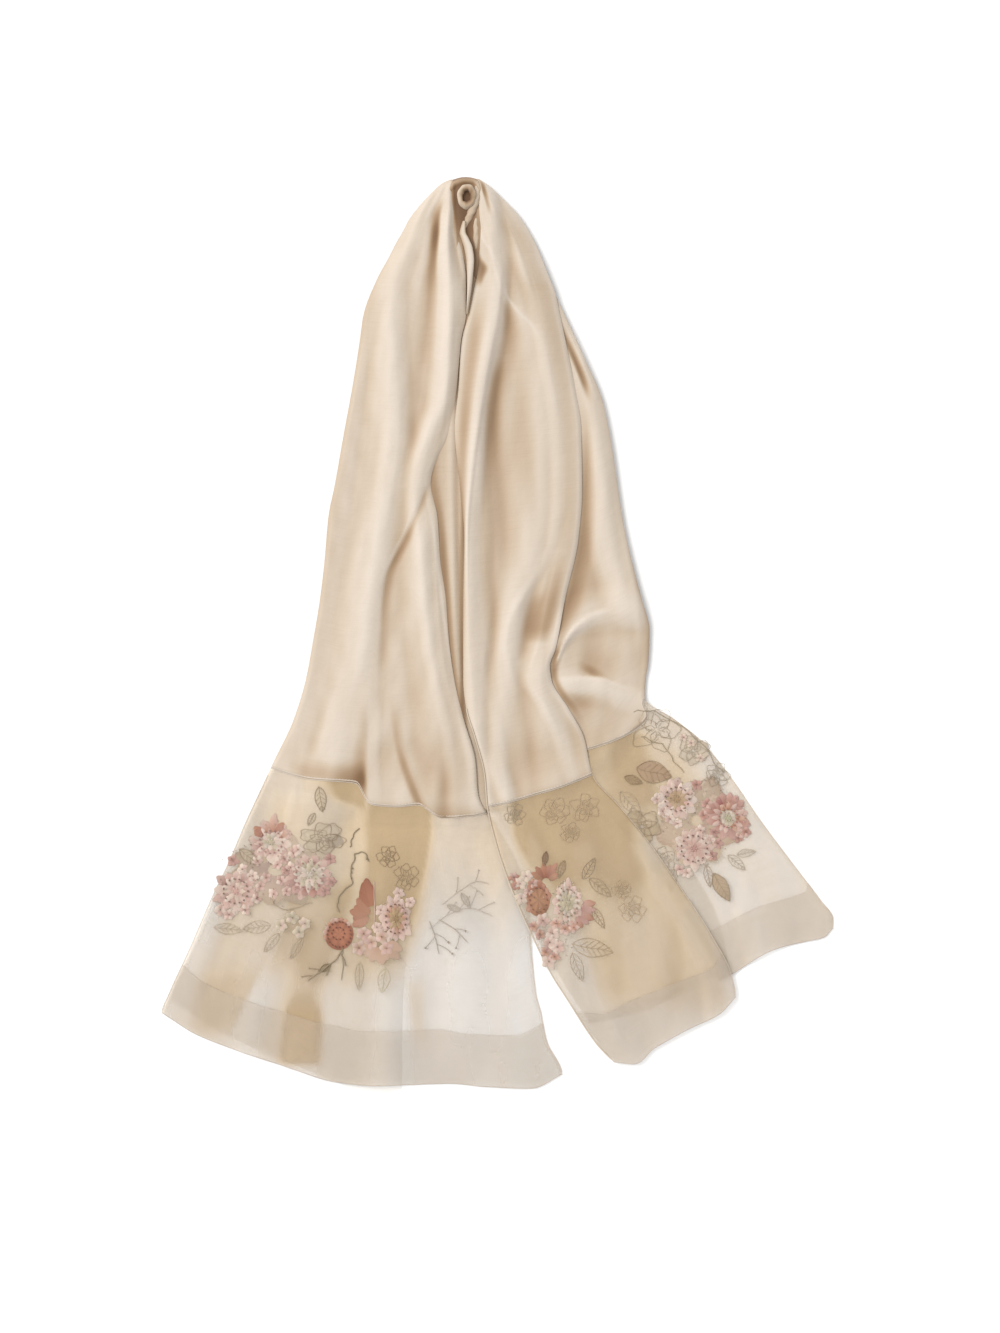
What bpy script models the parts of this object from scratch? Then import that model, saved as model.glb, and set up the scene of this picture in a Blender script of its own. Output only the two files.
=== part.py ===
"""Evening stole, folded at mid-length, pinched there and laid flat as two tails.

Metres, +Z up, origin at the middle of the surface it lies on.  The pinch points along +Y and the two
tails fan out towards -Y.  Every place on the cloth is given by two lengths: across, which is X, and
down, the distance from the top of the pinch towards the tails.

The cloth is one centre panel of silk with an organza end sewn to each tail.  Three stretches of it
show: the left front, the right front and the right outer stretch.  Each stretch is a wall that runs
from the pinch to its hem, cut at the seam into silk and organza.  The layers folded away below them
are one rounded solid, layered at its edges.
"""
import bpy
import numpy as np

for item in list(bpy.data.objects):
    bpy.data.objects.remove(item, do_unlink=True)

MM = 0.001

# Driving sizes
LAID_LENGTH = 967 * MM          # from the pinch to the lowest hem
SILK_WALL = 1.7 * MM
ORGANZA_WALL = 1.2 * MM
HEM_WALL = 1.0 * MM
HEM_DEPTH = 53 * MM
ORGANZA_LENGTH = 270 * MM       # an organza end as it lies, from its seam to its hem
SEAM_GAP = 0.4 * MM             # between pieces that are sewn edge to edge
LAY_GAP = 0.6 * MM              # between a layer and what it lies on
OVERLAP = 16 * MM               # how far a stretch reaches under the one above it
HIDDEN_INSET = 3 * MM           # the hidden layers end this far inside the outline
HIDDEN_START = 1.5 * MM         # and start this far below the top of the pinch
HIDDEN_FOOT = 3.0 * MM          # their height where they end
EDGE_LAYERS = 3                 # folded layers that show at their edges
FOLD_FULLNESS = 1.2             # how much higher the folds stand than their tables say


def table(names, *rows):
    """A short table in millimetres as named columns in metres, one row for each section."""
    return dict(zip(names.split(), np.array(rows, float).T * MM))


def shares(names, *rows):
    """A table whose first column is a share of the width, 0 to 1, and the others millimetres."""
    columns = dict(zip(names.split(), np.array(rows, float).T))
    first = names.split()[0]
    return {name: column if name == first else column * MM for name, column in columns.items()}


def smooth_curve(at, knots, values):
    """The monotone cubic curve through the points (knots, values), read at `at`.

    It never overshoots its points, and holds its end values beyond them.
    """
    gaps = np.diff(knots)
    slopes = np.diff(values) / gaps
    tangents = np.concatenate(([slopes[0]], np.zeros(len(knots) - 2), [slopes[-1]]))
    before, after = slopes[:-1], slopes[1:]
    agree = before * after > 0
    tangents[1:-1][agree] = 2 * before[agree] * after[agree] / (before + after)[agree]
    step = np.clip(np.searchsorted(knots, at) - 1, 0, len(knots) - 2)
    t = np.clip((at - knots[step]) / gaps[step], 0, 1)
    return ((1 + 2 * t) * (1 - t) ** 2 * values[step]
            + t * (1 - t) ** 2 * gaps[step] * tangents[step]
            + t * t * (3 - 2 * t) * values[step + 1]
            - t * t * (1 - t) * gaps[step] * tangents[step + 1])


def read(rows, name, at):
    """One column of a table, read smoothly along its first column."""
    first = next(iter(rows))
    return smooth_curve(at, rows[first], rows[name])


def rise01(t):
    """A smooth step from 0 to 1 as t goes from 0 to 1."""
    t = np.clip(t, 0, 1)
    return t * t * (3 - 2 * t)


# ---------------------------------------------------------------- outlines

# The sides of the three stretches that show, pinch to hem.
LEFT_SIDES = table("down left right",
                   (0, -47, -44), (6, -62, -43), (23, -80, -43), (40, -92, -44), (65, -106, -44),
                   (108, -128, -41), (150, -142, -39), (192, -148, -41), (234, -155, -44),
                   (266, -161, -50), (323, -171, -70), (358, -178, -63), (403, -182, -60),
                   (445, -187, -54), (487, -194, -51), (530, -202, -45), (572, -215, -35),
                   (614, -235, -23), (650, -252, -20), (680, -266, -4), (720, -283, 19),
                   (760, -302, 32), (813, -325, 36), (861, -347, 41), (880, -354, 46),
                   (910, -354, 52), (943, -354, 68), (967, -354, 70))
RIGHT_SIDES = table("down left right",
                    (0, -21, -17), (6, -21, -9), (23, -21, 8), (40, -22, 24), (70, -33, 42),
                    (102, -26, 54), (142, -29, 65), (175, -38, 72), (224, -41, 82), (264, -45, 88),
                    (331, -39, 89), (382, -35, 85), (445, -36, 71), (497, -36, 61), (515, -36, 55),
                    (530, -36, 57), (560, -33, 75), (590, -24, 91), (629, -14, 100), (663, -11, 129),
                    (698, -3, 158), (741, 11, 188), (799, 36, 226), (841, 57, 247), (863, 71, 251),
                    (913, 104, 251), (934, 124, 251))
OUTER_SIDES = table("down right",
                    (100, 50), (150, 73), (192, 92), (234, 110), (276, 119), (361, 132), (403, 141),
                    (445, 152), (477, 160), (509, 159), (530, 156), (548, 155), (572, 188),
                    (593, 214), (635, 248), (677, 277), (720, 309), (762, 341), (781, 354),
                    (850, 354))

# Where each stretch starts, is seamed to its organza, and ends, across its width.
LEFT_ENDS = shares("share top seam foot",
                   (0.00, 3, 622, 880), (0.09, 2, 628, 903), (0.21, 2, 634, 922), (0.34, 1, 636, 941),
                   (0.43, 1, 638, 953), (0.52, 1, 661, 957), (0.62, 1, 663, 956), (0.72, 1, 661, 955),
                   (0.80, 1, 675, 958), (0.92, 1, 673, 960), (1.00, 1, 670, 945))
RIGHT_ENDS = shares("share top seam foot",
                    (0.00, 1, 663, 932), (0.15, 1, 659, 934), (0.41, 1, 650, 917),
                    (0.66, 1, 642, 899), (0.90, 2, 633, 881), (1.00, 3, 629, 863))
OUTER_ENDS = shares("share top seam foot",
                    (0.00, 106, 606, 847), (0.16, 106, 601, 838), (0.53, 106, 584, 814),
                    (0.80, 107, 568, 805), (0.93, 108, 556, 801), (1.00, 110, 550, 791))

# The low strip between the halves, and the organza folded behind each end.
CENTRE_TOP, CENTRE_FOOT = 46 * MM, 667 * MM
CENTRE_SIDES = table("down left right",
                     (44, -50, -14), (100, -52, -14), (160, -52, -16), (240, -57, -28),
                     (323, -80, -26), (400, -72, -22), (500, -62, -22), (600, -40, -6),
                     (668, -36, 6))
LEFT_BACK_SIDES = table("down left right",
                        (658, -250, -74), (720, -276, -80), (800, -314, -94), (880, -346, -100),
                        (967, -346, -101))
LEFT_BACK_ENDS = shares("share top foot",
                        (0.00, 660, 868), (0.25, 660, 905), (0.50, 660, 932), (0.70, 660, 952),
                        (0.80, 660, 962), (0.90, 660, 967), (1.00, 660, 961))
RIGHT_BACK_SIDES = table("down left right",
                         (660, 27, 150), (700, 27, 184), (741, 38, 212), (780, 44, 232),
                         (835, 62, 243), (890, 96, 243))
RIGHT_BACK_ENDS = shares("share top foot",
                         (0.00, 671, 892), (0.40, 671, 880), (1.00, 668, 838))

# ---------------------------------------------------------------- folds

# Each fold is a ridge: where its crest lies, how wide each flank is, and how high it stands.
FOLD = "down across left right rise"
LEFT_FOLDS = (
    table(FOLD, (10, -66, 10, 12, 0), (60, -88, 14, 16, 4), (129, -116, 18, 22, 6),
          (266, -115, 24, 22, 7), (382, -130, 26, 24, 6), (487, -145, 28, 28, 5.5),
          (593, -163, 32, 32, 5), (760, -222, 30, 34, 5), (900, -262, 30, 34, 4), (960, -262, 30, 34, 3)),
    table(FOLD, (4, -49, 5, 5, 1), (70, -54, 14, 9, 7), (129, -51, 16, 10, 8), (191, -53, 18, 11, 8),
          (236, -58, 20, 13, 7), (266, -68, 20, 15, 6.5), (323, -84, 22, 14, 5), (380, -96, 22, 16, 0)),
    table(FOLD, (335, -80, 18, 16, 0), (400, -80, 22, 18, 6.5), (487, -73, 26, 20, 7),
          (551, -64, 28, 20, 6.5), (614, -55, 32, 22, 5.5), (680, -52, 34, 26, 4), (760, -38, 34, 30, 0)),
    table(FOLD, (640, -170, 24, 26, 0), (700, -180, 26, 28, 4), (850, -196, 30, 30, 4.5),
          (960, -205, 30, 30, 3.5)),
    table(FOLD, (690, -112, 20, 22, 0), (780, -112, 24, 22, 4), (880, -112, 26, 22, 4.5),
          (960, -118, 30, 24, 4)),
    table(FOLD, (880, 20, 40, 30, 0), (960, 10, 46, 34, 3.5)),
)
RIGHT_FOLDS = (
    table(FOLD, (4, -14, 7, 8, 0), (40, -4, 14, 12, 6), (90, 2, 22, 14, 7), (127, 2, 26, 12, 8),
          (224, -15, 24, 16, 8), (304, -26, 17, 16, 7), (385, -31, 6, 16, 6), (470, -30, 8, 18, 5),
          (580, -22, 12, 22, 4.5), (640, 4, 14, 18, 3.5), (740, 52, 16, 26, 3), (860, 108, 20, 30, 3),
          (930, 138, 22, 30, 3)),
    table(FOLD, (60, 22, 16, 16, 0), (150, 38, 22, 22, 5.5), (266, 50, 30, 26, 7), (340, 50, 32, 24, 7.5),
          (390, 42, 30, 22, 7), (440, 24, 24, 18, 6.5), (490, 14, 22, 18, 6), (560, 10, 22, 18, 4.5),
          (640, 22, 20, 20, 0)),
    table(FOLD, (495, 48, 16, 10, 0), (530, 44, 22, 14, 5), (590, 60, 28, 22, 6), (640, 66, 30, 24, 5),
          (720, 96, 34, 32, 4), (800, 150, 36, 36, 4), (900, 196, 36, 36, 4)),
)
OUTER_FOLDS = (
    table(FOLD, (150, 74, 12, 8, 0), (234, 99, 16, 12, 4), (340, 112, 22, 18, 6.5),
          (403, 121, 26, 20, 7), (450, 136, 28, 22, 6), (480, 146, 26, 18, 0)),
    table(FOLD, (640, 150, 34, 38, 0), (720, 222, 34, 40, 4), (810, 282, 36, 40, 4.5),
          (850, 290, 36, 40, 4)),
)
# Folds that run across the outer stretch: the two lips of its scooped curl.
CURL_DOWN = 500 * MM            # below here the outer stretch reaches past the hidden layers
CROSS_FOLD = "across down up below rise"
OUTER_CURL = (
    table(CROSS_FOLD, (50, 505, 30, 20, 0), (66, 484, 34, 20, 6), (85, 468, 36, 22, 8),
          (105, 460, 36, 24, 8), (130, 456, 34, 26, 6), (162, 458, 30, 26, 3)),
    table(CROSS_FOLD, (55, 532, 20, 22, 0), (76, 532, 20, 22, 5), (100, 534, 20, 22, 6),
          (130, 543, 20, 20, 5), (160, 550, 20, 20, 2)),
)


def ridge(fold, across, down):
    """The height of one fold: its rise times (1 - t^2)^2, t from 0 at the crest to 1 at a flank's foot."""
    offset = across - read(fold, "across", down)
    flank = np.where(offset < 0, read(fold, "left", down), read(fold, "right", down))
    rise = FOLD_FULLNESS * read(fold, "rise", down)
    return rise * (1 - np.clip(offset / flank, -1, 1) ** 2) ** 2


def cross_ridge(fold, across, down):
    """The same for a fold that runs across: its crest is a distance down for each place across."""
    offset = down - read(fold, "down", across)
    flank = np.where(offset < 0, read(fold, "up", across), read(fold, "below", across))
    rise = FOLD_FULLNESS * read(fold, "rise", across)
    return rise * (1 - np.clip(offset / flank, -1, 1) ** 2) ** 2


# ---------------------------------------------------------------- what each layer lies on

HIDDEN_HEIGHTS = table("down crown edge",
                       (0, 4, 3.0), (12, 9, 4.5), (36, 11, 6.0), (70, 13, 6.0), (150, 13, 6.0), (300, 11.5, 6.0),
                       (450, 9.5, 5.5), (600, 7, 4.5), (655, 6, 3.5))
HIDDEN_ENDS = shares("share foot",
                     (0.00, 606), (0.07, 618), (0.11, 648), (0.24, 652), (0.28, 640), (0.50, 642),
                     (0.62, 644), (0.72, 630), (0.86, 606), (0.95, 572), (1.00, 544))
HIDDEN_REACH = 151 * MM         # the hidden layers never reach further right than this
HIDDEN_THINNING = 70 * MM       # they thin out over this length before their ends
OUTLINE_MEETS = 113 * MM        # above here the right outline is the front stretch's, below the outer one's


def hidden_sides(down):
    """The left and right edges of the hidden layers, just inside the outline."""
    right_outline = np.where(down < OUTLINE_MEETS, read(RIGHT_SIDES, "right", down),
                             read(OUTER_SIDES, "right", down))
    left = read(LEFT_SIDES, "left", down) + HIDDEN_INSET
    return left, np.minimum(right_outline - HIDDEN_INSET, HIDDEN_REACH)


def starting(down, start, length):
    """0 above `start`, rising smoothly to 1 over `length` below it."""
    return rise01((down - start) / length)


def hidden_top(across, down):
    """The rounded top of the hidden layers, and how cloth sinks softly to the floor beyond their ends."""
    left, right = hidden_sides(down)
    share = np.clip((across - left) / (right - left), 0, 1)
    crown, edge = read(HIDDEN_HEIGHTS, "crown", down), read(HIDDEN_HEIGHTS, "edge", down)
    height = edge + (crown - edge) * (1 - np.abs(2 * share - 1) ** 2.5)
    foot = read(HIDDEN_ENDS, "foot", share)
    height = HIDDEN_FOOT + (height - HIDDEN_FOOT) * rise01((foot - down) / HIDDEN_THINNING)
    sunk_below = starting(down, foot + 12 * MM, length=30 * MM)
    sunk_aside = starting(across, right + 8 * MM, length=28 * MM) * (down > CURL_DOWN)
    return height * (1 - sunk_below) * (1 - sunk_aside)


def step_up(distance, ramp=14 * MM, margin=6 * MM):
    """0 away from a lower layer, rising to 1 just before its edge, where distance is 0, and 1 over it."""
    return rise01((distance + ramp + margin) / ramp)


def outer_left(down):
    return read(RIGHT_SIDES, "right", down) - OVERLAP


def outer_folds(across, down):
    heights = [ridge(fold, across, down) for fold in OUTER_FOLDS]
    heights += [cross_ridge(fold, across, down) * starting(down, 400 * MM, length=40 * MM)
                for fold in OUTER_CURL]
    return np.sum(heights, axis=0)


def centre_ending(down):
    """1 along the centre strip, falling to 0 below its lower end."""
    return 1 - starting(down, CENTRE_FOOT + 7 * MM, length=30 * MM)


def organza_starting(down):
    """0 along the silk, rising to 1 before the organza ends lie on each other."""
    return starting(down, 600 * MM, length=45 * MM)


def left_rest(across, down):
    """The underside of the left front stretch, over the centre strip and the organza behind."""
    over_centre = step_up(across - read(CENTRE_SIDES, "left", down)) * centre_ending(down)
    over_back = step_up(read(LEFT_BACK_SIDES, "right", down) - across) * organza_starting(down)
    return (hidden_top(across, down) + LAY_GAP * (hidden_top(across, down) > 0)
            + over_centre * (SILK_WALL + LAY_GAP) + over_back * (ORGANZA_WALL + LAY_GAP)
            + np.sum([ridge(fold, across, down) for fold in LEFT_FOLDS], axis=0))


def outer_rest(across, down):
    """The underside of the outer stretch, over the organza behind the right end."""
    over_back = step_up(read(RIGHT_BACK_SIDES, "right", down) - across) * organza_starting(down)
    return (hidden_top(across, down) + LAY_GAP * (hidden_top(across, down) > 0)
            + over_back * (ORGANZA_WALL + LAY_GAP) + outer_folds(across, down))


def right_rest(across, down):
    """The underside of the right front stretch, over the centre strip, the outer and the left ones."""
    over_centre = step_up(read(CENTRE_SIDES, "right", down) - across) * centre_ending(down)
    over_left = step_up(read(LEFT_SIDES, "right", down) - across) * organza_starting(down)
    over_outer = step_up(across - outer_left(down)) * (down > 90 * MM)
    over_outer_hem = over_outer * starting(down, 750 * MM, length=30 * MM)
    over_back = organza_starting(down)
    return (hidden_top(across, down) + LAY_GAP
            + over_centre * (SILK_WALL + LAY_GAP) + over_left * (ORGANZA_WALL + 2 * LAY_GAP)
            + over_outer * (SILK_WALL + 2 * LAY_GAP + outer_folds(across, down))
            + over_outer_hem * (HEM_WALL + 2 * LAY_GAP)
            + over_back * (ORGANZA_WALL + LAY_GAP)
            + np.sum([ridge(fold, across, down) for fold in RIGHT_FOLDS], axis=0))


def centre_rest(across, down):
    return hidden_top(across, down) + LAY_GAP


def floor_rest(across, down):
    return np.zeros_like(across)


# ---------------------------------------------------------------- meshes

def place(across, down, height):
    """Points in the part's frame, from lengths across, down and up."""
    return np.stack([across, LAID_LENGTH / 2 - down, height], axis=-1)


def side_spacing(columns):
    """Shares 0 to 1 that lie closer together at the two sides, where the cloth turns over."""
    t = np.linspace(0, 1, columns)
    return t - 0.5 * np.sin(2 * np.pi * t) / (2 * np.pi)


def grid(left, right, start, end, columns, rows):
    """The places across and down of a stretch: rows run from its start to its end at each share."""
    share = side_spacing(columns)[None, :]
    along = rows[:, None]
    down = start(share) + (end(share) - start(share)) * along
    return left(down) + (right(down) - left(down)) * share, down


def material(name, colour, roughness):
    finish = bpy.data.materials.new(name)
    finish.use_nodes = True
    shader = finish.node_tree.nodes["Principled BSDF"]
    shader.inputs["Base Color"].default_value = (*colour, 1)
    shader.inputs["Roughness"].default_value = roughness
    return finish


SILK = material("champagne silk", (0.74, 0.62, 0.48), 0.45)
ORGANZA = material("sheer organza", (0.72, 0.63, 0.50), 0.5)
HEM = material("organza hem", (0.70, 0.60, 0.47), 0.5)


def add_object(name, points, faces, finish):
    mesh = bpy.data.meshes.new(name)
    mesh.from_pydata(points.tolist(), [], faces.tolist() if hasattr(faces, "tolist") else faces)
    mesh.validate()
    mesh.shade_smooth()
    mesh.set_sharp_from_angle(angle=np.radians(50))
    mesh.materials.append(finish)
    piece = bpy.data.objects.new(name, mesh)
    bpy.context.scene.collection.objects.link(piece)
    return piece


def wall(name, across, down, underside, thickness, finish):
    """A closed wall of cloth: its underside at each point of the grid, and its face above that."""
    rows, columns = across.shape
    face = place(across, down, underside + thickness).reshape(-1, 3)
    back = place(across, down, underside).reshape(-1, 3)
    index = np.arange(rows * columns).reshape(rows, columns)
    first, below, corner, beside = index[:-1, :-1], index[1:, :-1], index[1:, 1:], index[:-1, 1:]
    skin = np.concatenate([np.stack([first, below, corner], -1), np.stack([first, corner, beside], -1)])
    skin = skin.reshape(-1, 3)
    rim = np.concatenate([index[0, :-1], index[:-1, -1], index[-1, :0:-1], index[:0:-1, 0]])
    after = np.roll(rim, -1)
    lower = rows * columns
    sides = np.concatenate([np.stack([rim, after, after + lower], -1),
                            np.stack([rim, after + lower, rim + lower], -1)])
    faces = np.concatenate([skin, skin[:, ::-1] + lower, sides])
    return add_object(name, np.concatenate([face, back]), faces, finish)


def stretch(side, left, right, ends, rest, columns, silk_rows, organza_rows):
    """One stretch of the stole from pinch to hem: its silk, its organza and its hem band.

    The silk and the organza share the curve of the seam, and the hem band is made from the
    organza's own points, moved up.
    """
    def edge(name, extra=0.0):
        return lambda share: read(ends, name, share) + extra

    silk = grid(left, right, edge("top"), edge("seam", -SEAM_GAP / 2), columns,
                np.linspace(0, 1, silk_rows))
    wall("silk_" + side, *silk, rest(*silk), SILK_WALL, SILK)
    turn = 1 - HEM_DEPTH / ORGANZA_LENGTH
    rows = np.concatenate([np.linspace(0, turn, organza_rows - 2), (turn * 0.5 + 0.5, 1)])
    organza = grid(left, right, edge("seam", SEAM_GAP / 2), edge("foot"), columns, rows)
    wall("organza_" + side, *organza, rest(*organza), ORGANZA_WALL, ORGANZA)
    band = [places[-3:] for places in organza]
    wall("hem_" + side, *band, rest(*band) + ORGANZA_WALL + SEAM_GAP, HEM_WALL, HEM)


def column(rows, name):
    return lambda down: read(rows, name, down)


# ---------------------------------------------------------------- the stretches that show

stretch("left", column(LEFT_SIDES, "left"), column(LEFT_SIDES, "right"), LEFT_ENDS, left_rest,
        columns=24, silk_rows=24, organza_rows=12)
stretch("right", column(RIGHT_SIDES, "left"), column(RIGHT_SIDES, "right"), RIGHT_ENDS, right_rest,
        columns=20, silk_rows=30, organza_rows=11)
stretch("right_outer", outer_left, column(OUTER_SIDES, "right"), OUTER_ENDS, outer_rest,
        columns=12, silk_rows=28, organza_rows=10)

# The low strip between the halves.
strip = grid(column(CENTRE_SIDES, "left"), column(CENTRE_SIDES, "right"),
             lambda share: CENTRE_TOP + 0 * share, lambda share: CENTRE_FOOT + 0 * share,
             columns=7, rows=np.linspace(0, 1, 22))
wall("silk_centre", *strip, centre_rest(*strip), SILK_WALL, SILK)

# The organza folded behind each end lies flat on the floor.
for name, sides, ends in (("organza_left_back", LEFT_BACK_SIDES, LEFT_BACK_ENDS),
                          ("organza_right_back", RIGHT_BACK_SIDES, RIGHT_BACK_ENDS)):
    back = grid(column(sides, "left"), column(sides, "right"), column(ends, "top"), column(ends, "foot"),
                columns=9, rows=np.linspace(0, 1, 7))
    wall(name, *back, floor_rest(*back), ORGANZA_WALL, ORGANZA)


# ---------------------------------------------------------------- the hidden layers

def hidden_layers(stations, crown_columns):
    """The folded layers below, as one solid: a flat base, stacked rounded folds at each side,
    and the rounded top that the stretches lie on.

    Each ring starts at the base's left corner and runs right along the base, up the right side,
    back across the top and down the left side.
    """
    share_across = side_spacing(crown_columns)
    layer = (np.arange(EDGE_LAYERS)[:, None] + np.array([0.12, 0.5, 0.88])).ravel() / EDGE_LAYERS
    bulge = np.tile([0.0, 1.3, 0.0], EDGE_LAYERS) * MM
    foot_down = read(HIDDEN_ENDS, "foot", share_across)
    rings = []
    for along in np.linspace(0, 1, stations):
        down = HIDDEN_START + (foot_down - HIDDEN_START) * along
        left, right = hidden_sides(down)
        across = left + (right - left) * share_across
        top = hidden_top(across, down)
        side_heights = layer[:, None] * top[[0, -1]]
        left_side = place(across[0] - bulge, np.full(bulge.shape, down[0]), side_heights[:, 0])
        right_side = place(across[-1] + bulge, np.full(bulge.shape, down[-1]), side_heights[:, 1])
        crown = place(across, down, top)
        base = place(across, down, np.zeros_like(across))
        rings.append(np.concatenate([base, right_side, crown[::-1], left_side[::-1]]))
    points = np.array(rings)
    size = points.shape[1]
    index = np.arange(stations * size).reshape(stations, size)
    start, finish = index[:-1], index[1:]
    skin = np.stack([np.roll(start, -1, 1), np.roll(finish, -1, 1), finish, start], -1).reshape(-1, 4)
    inner = np.arange(crown_columns - 1)
    mirror = 2 * crown_columns + layer.size - 1
    cap = np.stack([inner, inner + 1, mirror - inner - 1, mirror - inner], -1)
    right_fan = [crown_columns - 1, *range(crown_columns, crown_columns + layer.size + 1)]
    left_fan = [mirror, *range(mirror + 1, size), 0]
    caps = cap.tolist() + [right_fan, left_fan]
    last = (stations - 1) * size
    faces = skin.tolist() + [ring[::-1] for ring in caps] + [[i + last for i in ring] for ring in caps]
    return add_object("hidden_layers", points.reshape(-1, 3), [list(map(int, f)) for f in faces], SILK)


hidden_layers(stations=24, crown_columns=15)


# ---------------------------------------------------------------- the pinch

RING_ACROSS = -32.0 * MM
RING_DOWN = 23 * MM
RING_RADIUS = 5.9 * MM          # of the middle of its roll
ROLL_WIDTH = 3.4 * MM
ROLL_HEIGHT = 4.2 * MM
RING_LENGTHEN = 1.28            # the ring is longer down the stole than across
RING_LIFT = 15.05 * MM


def pinch_ring(around=24, section=10):
    """The rolled end of the gather: an oval ring with a rounded section."""
    turn = np.linspace(0, 2 * np.pi, around, endpoint=False)[:, None]
    tilt = np.linspace(0, 2 * np.pi, section, endpoint=False)[None, :]
    reach = RING_RADIUS + ROLL_WIDTH * np.cos(tilt) * (1 + 0.08 * np.sin(3 * turn))
    across = RING_ACROSS + reach * np.cos(turn)
    down = RING_DOWN - reach * np.sin(turn) * RING_LENGTHEN
    height = RING_LIFT + ROLL_HEIGHT * np.sin(tilt) + 0 * turn
    points = place(across, down, height)
    index = np.arange(around * section).reshape(around, section)
    ahead, above = np.roll(index, -1, 0), np.roll(index, -1, 1)
    faces = np.stack([index, ahead, np.roll(ahead, -1, 1), above], -1).reshape(-1, 4)
    return add_object("pinch_ring", points.reshape(-1, 3), faces, SILK)


STRAND = table("down across radius",
               (50, -34, 3.0), (76, -37, 3.6), (98, -36, 4.0), (118, -36, 3.2), (140, -36, 2.0))
STRAND_TWIST = np.radians(270)


def pinch_strand(stations=14, section=8):
    """The narrow twisted strand below the ring: an oval section that turns as it goes."""
    along = np.linspace(0, 1, stations)[:, None]
    down = STRAND["down"][0] + (STRAND["down"][-1] - STRAND["down"][0]) * along
    turn = np.linspace(0, 2 * np.pi, section, endpoint=False)[None, :]
    twist = along * STRAND_TWIST
    radius = read(STRAND, "radius", down)
    flat, thick = radius * np.cos(turn), 0.6 * radius * np.sin(turn)
    across = read(STRAND, "across", down) + flat * np.cos(twist) - thick * np.sin(twist)
    lift = hidden_top(read(STRAND, "across", down), down) + SILK_WALL + 1.5 * LAY_GAP + radius
    height = lift + flat * np.sin(twist) + thick * np.cos(twist)
    points = place(across, down + 0 * turn, height)
    index = np.arange(stations * section).reshape(stations, section)
    start, after = index[:-1], np.roll(index, -1, 1)[:-1]
    skin = np.stack([start, after, np.roll(index, -1, 1)[1:], index[1:]], -1).reshape(-1, 4).tolist()
    faces = skin + [index[0, ::-1].tolist(), index[-1].tolist()]
    return add_object("pinch_strand", points.reshape(-1, 3), faces, SILK)


pinch_ring()
pinch_strand()
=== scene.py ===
import bpy
import numpy as np
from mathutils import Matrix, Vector


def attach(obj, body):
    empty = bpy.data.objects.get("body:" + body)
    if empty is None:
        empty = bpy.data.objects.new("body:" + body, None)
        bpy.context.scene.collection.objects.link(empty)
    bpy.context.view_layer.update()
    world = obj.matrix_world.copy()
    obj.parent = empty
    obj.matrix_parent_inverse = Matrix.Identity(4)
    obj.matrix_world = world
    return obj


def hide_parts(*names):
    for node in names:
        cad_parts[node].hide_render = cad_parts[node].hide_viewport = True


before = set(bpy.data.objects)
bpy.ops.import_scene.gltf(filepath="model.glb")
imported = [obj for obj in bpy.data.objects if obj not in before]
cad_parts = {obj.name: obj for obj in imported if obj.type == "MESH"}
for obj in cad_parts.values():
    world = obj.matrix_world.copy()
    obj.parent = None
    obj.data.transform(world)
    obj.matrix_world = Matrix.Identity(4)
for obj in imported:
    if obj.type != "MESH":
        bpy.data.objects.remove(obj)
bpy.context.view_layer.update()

# ---- the stage
# The stole lies on a plain white surface under a large soft window light from the upper left, and is
# seen from straight above.  The surface and the room are white, so only a faint shadow edges the cloth.
MM = 0.001
LAID_LENGTH = 967 * MM
CAMERA_PLACE = (2.6 * MM, -31.9 * MM, 3.0)
WINDOW_DIRECTION = (0.60, -0.42, -0.68)
FLOOR_SIZE, FLOOR_DROP = 8.0, 0.3 * MM

scene = bpy.context.scene
scene.view_settings.view_transform = "Standard"

camera_data = bpy.data.cameras.new("camera")
camera_data.sensor_fit = "VERTICAL"
camera_data.sensor_height = 24
camera_data.lens = 51.2
camera_data.clip_end = 30
camera = bpy.data.objects.new("camera", camera_data)
camera.location = CAMERA_PLACE
scene.collection.objects.link(camera)
scene.camera = camera

world = bpy.data.worlds.new("white room")
world.use_nodes = True
world.node_tree.nodes["Background"].inputs["Color"].default_value = (1, 1, 1, 1)
world.node_tree.nodes["Background"].inputs["Strength"].default_value = 0.86
scene.world = world

window = bpy.data.lights.new("window", "SUN")
window.energy = 2.75
window.angle = np.radians(40)
window.color = (1.0, 0.985, 0.96)
window_object = bpy.data.objects.new("window", window)
window_object.rotation_euler = Vector(WINDOW_DIRECTION).to_track_quat("-Z", "Y").to_euler()
scene.collection.objects.link(window_object)


def new_material(name, colour, roughness, settings=()):
    """A material with its colour, roughness and other settings on the Principled shader's own sockets."""
    finish = bpy.data.materials.new(name)
    finish.use_nodes = True
    shader = finish.node_tree.nodes["Principled BSDF"]
    shader.inputs["Base Color"].default_value = (*colour, 1)
    shader.inputs["Roughness"].default_value = roughness
    for socket, value in dict(settings).items():
        shader.inputs[socket].default_value = value
    return finish, finish.node_tree, shader


def put_mesh(name, points, faces, finish):
    """A smooth mesh object at the origin, from arrays of points and faces."""
    mesh = bpy.data.meshes.new(name)
    mesh.from_pydata(points.tolist(), [], faces.tolist())
    mesh.shade_smooth()
    mesh.materials.append(finish)
    piece = bpy.data.objects.new(name, mesh)
    scene.collection.objects.link(piece)
    return piece


FLOOR = new_material("white surface", (0.90, 0.90, 0.90), 0.8)[0]
half = FLOOR_SIZE / 2
floor = put_mesh("floor", np.array([(-half, -half, 0), (half, -half, 0), (half, half, 0), (-half, half, 0)]),
                 np.array([(0, 1, 2, 3)]), FLOOR)
floor.location.z = -FLOOR_DROP


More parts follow.
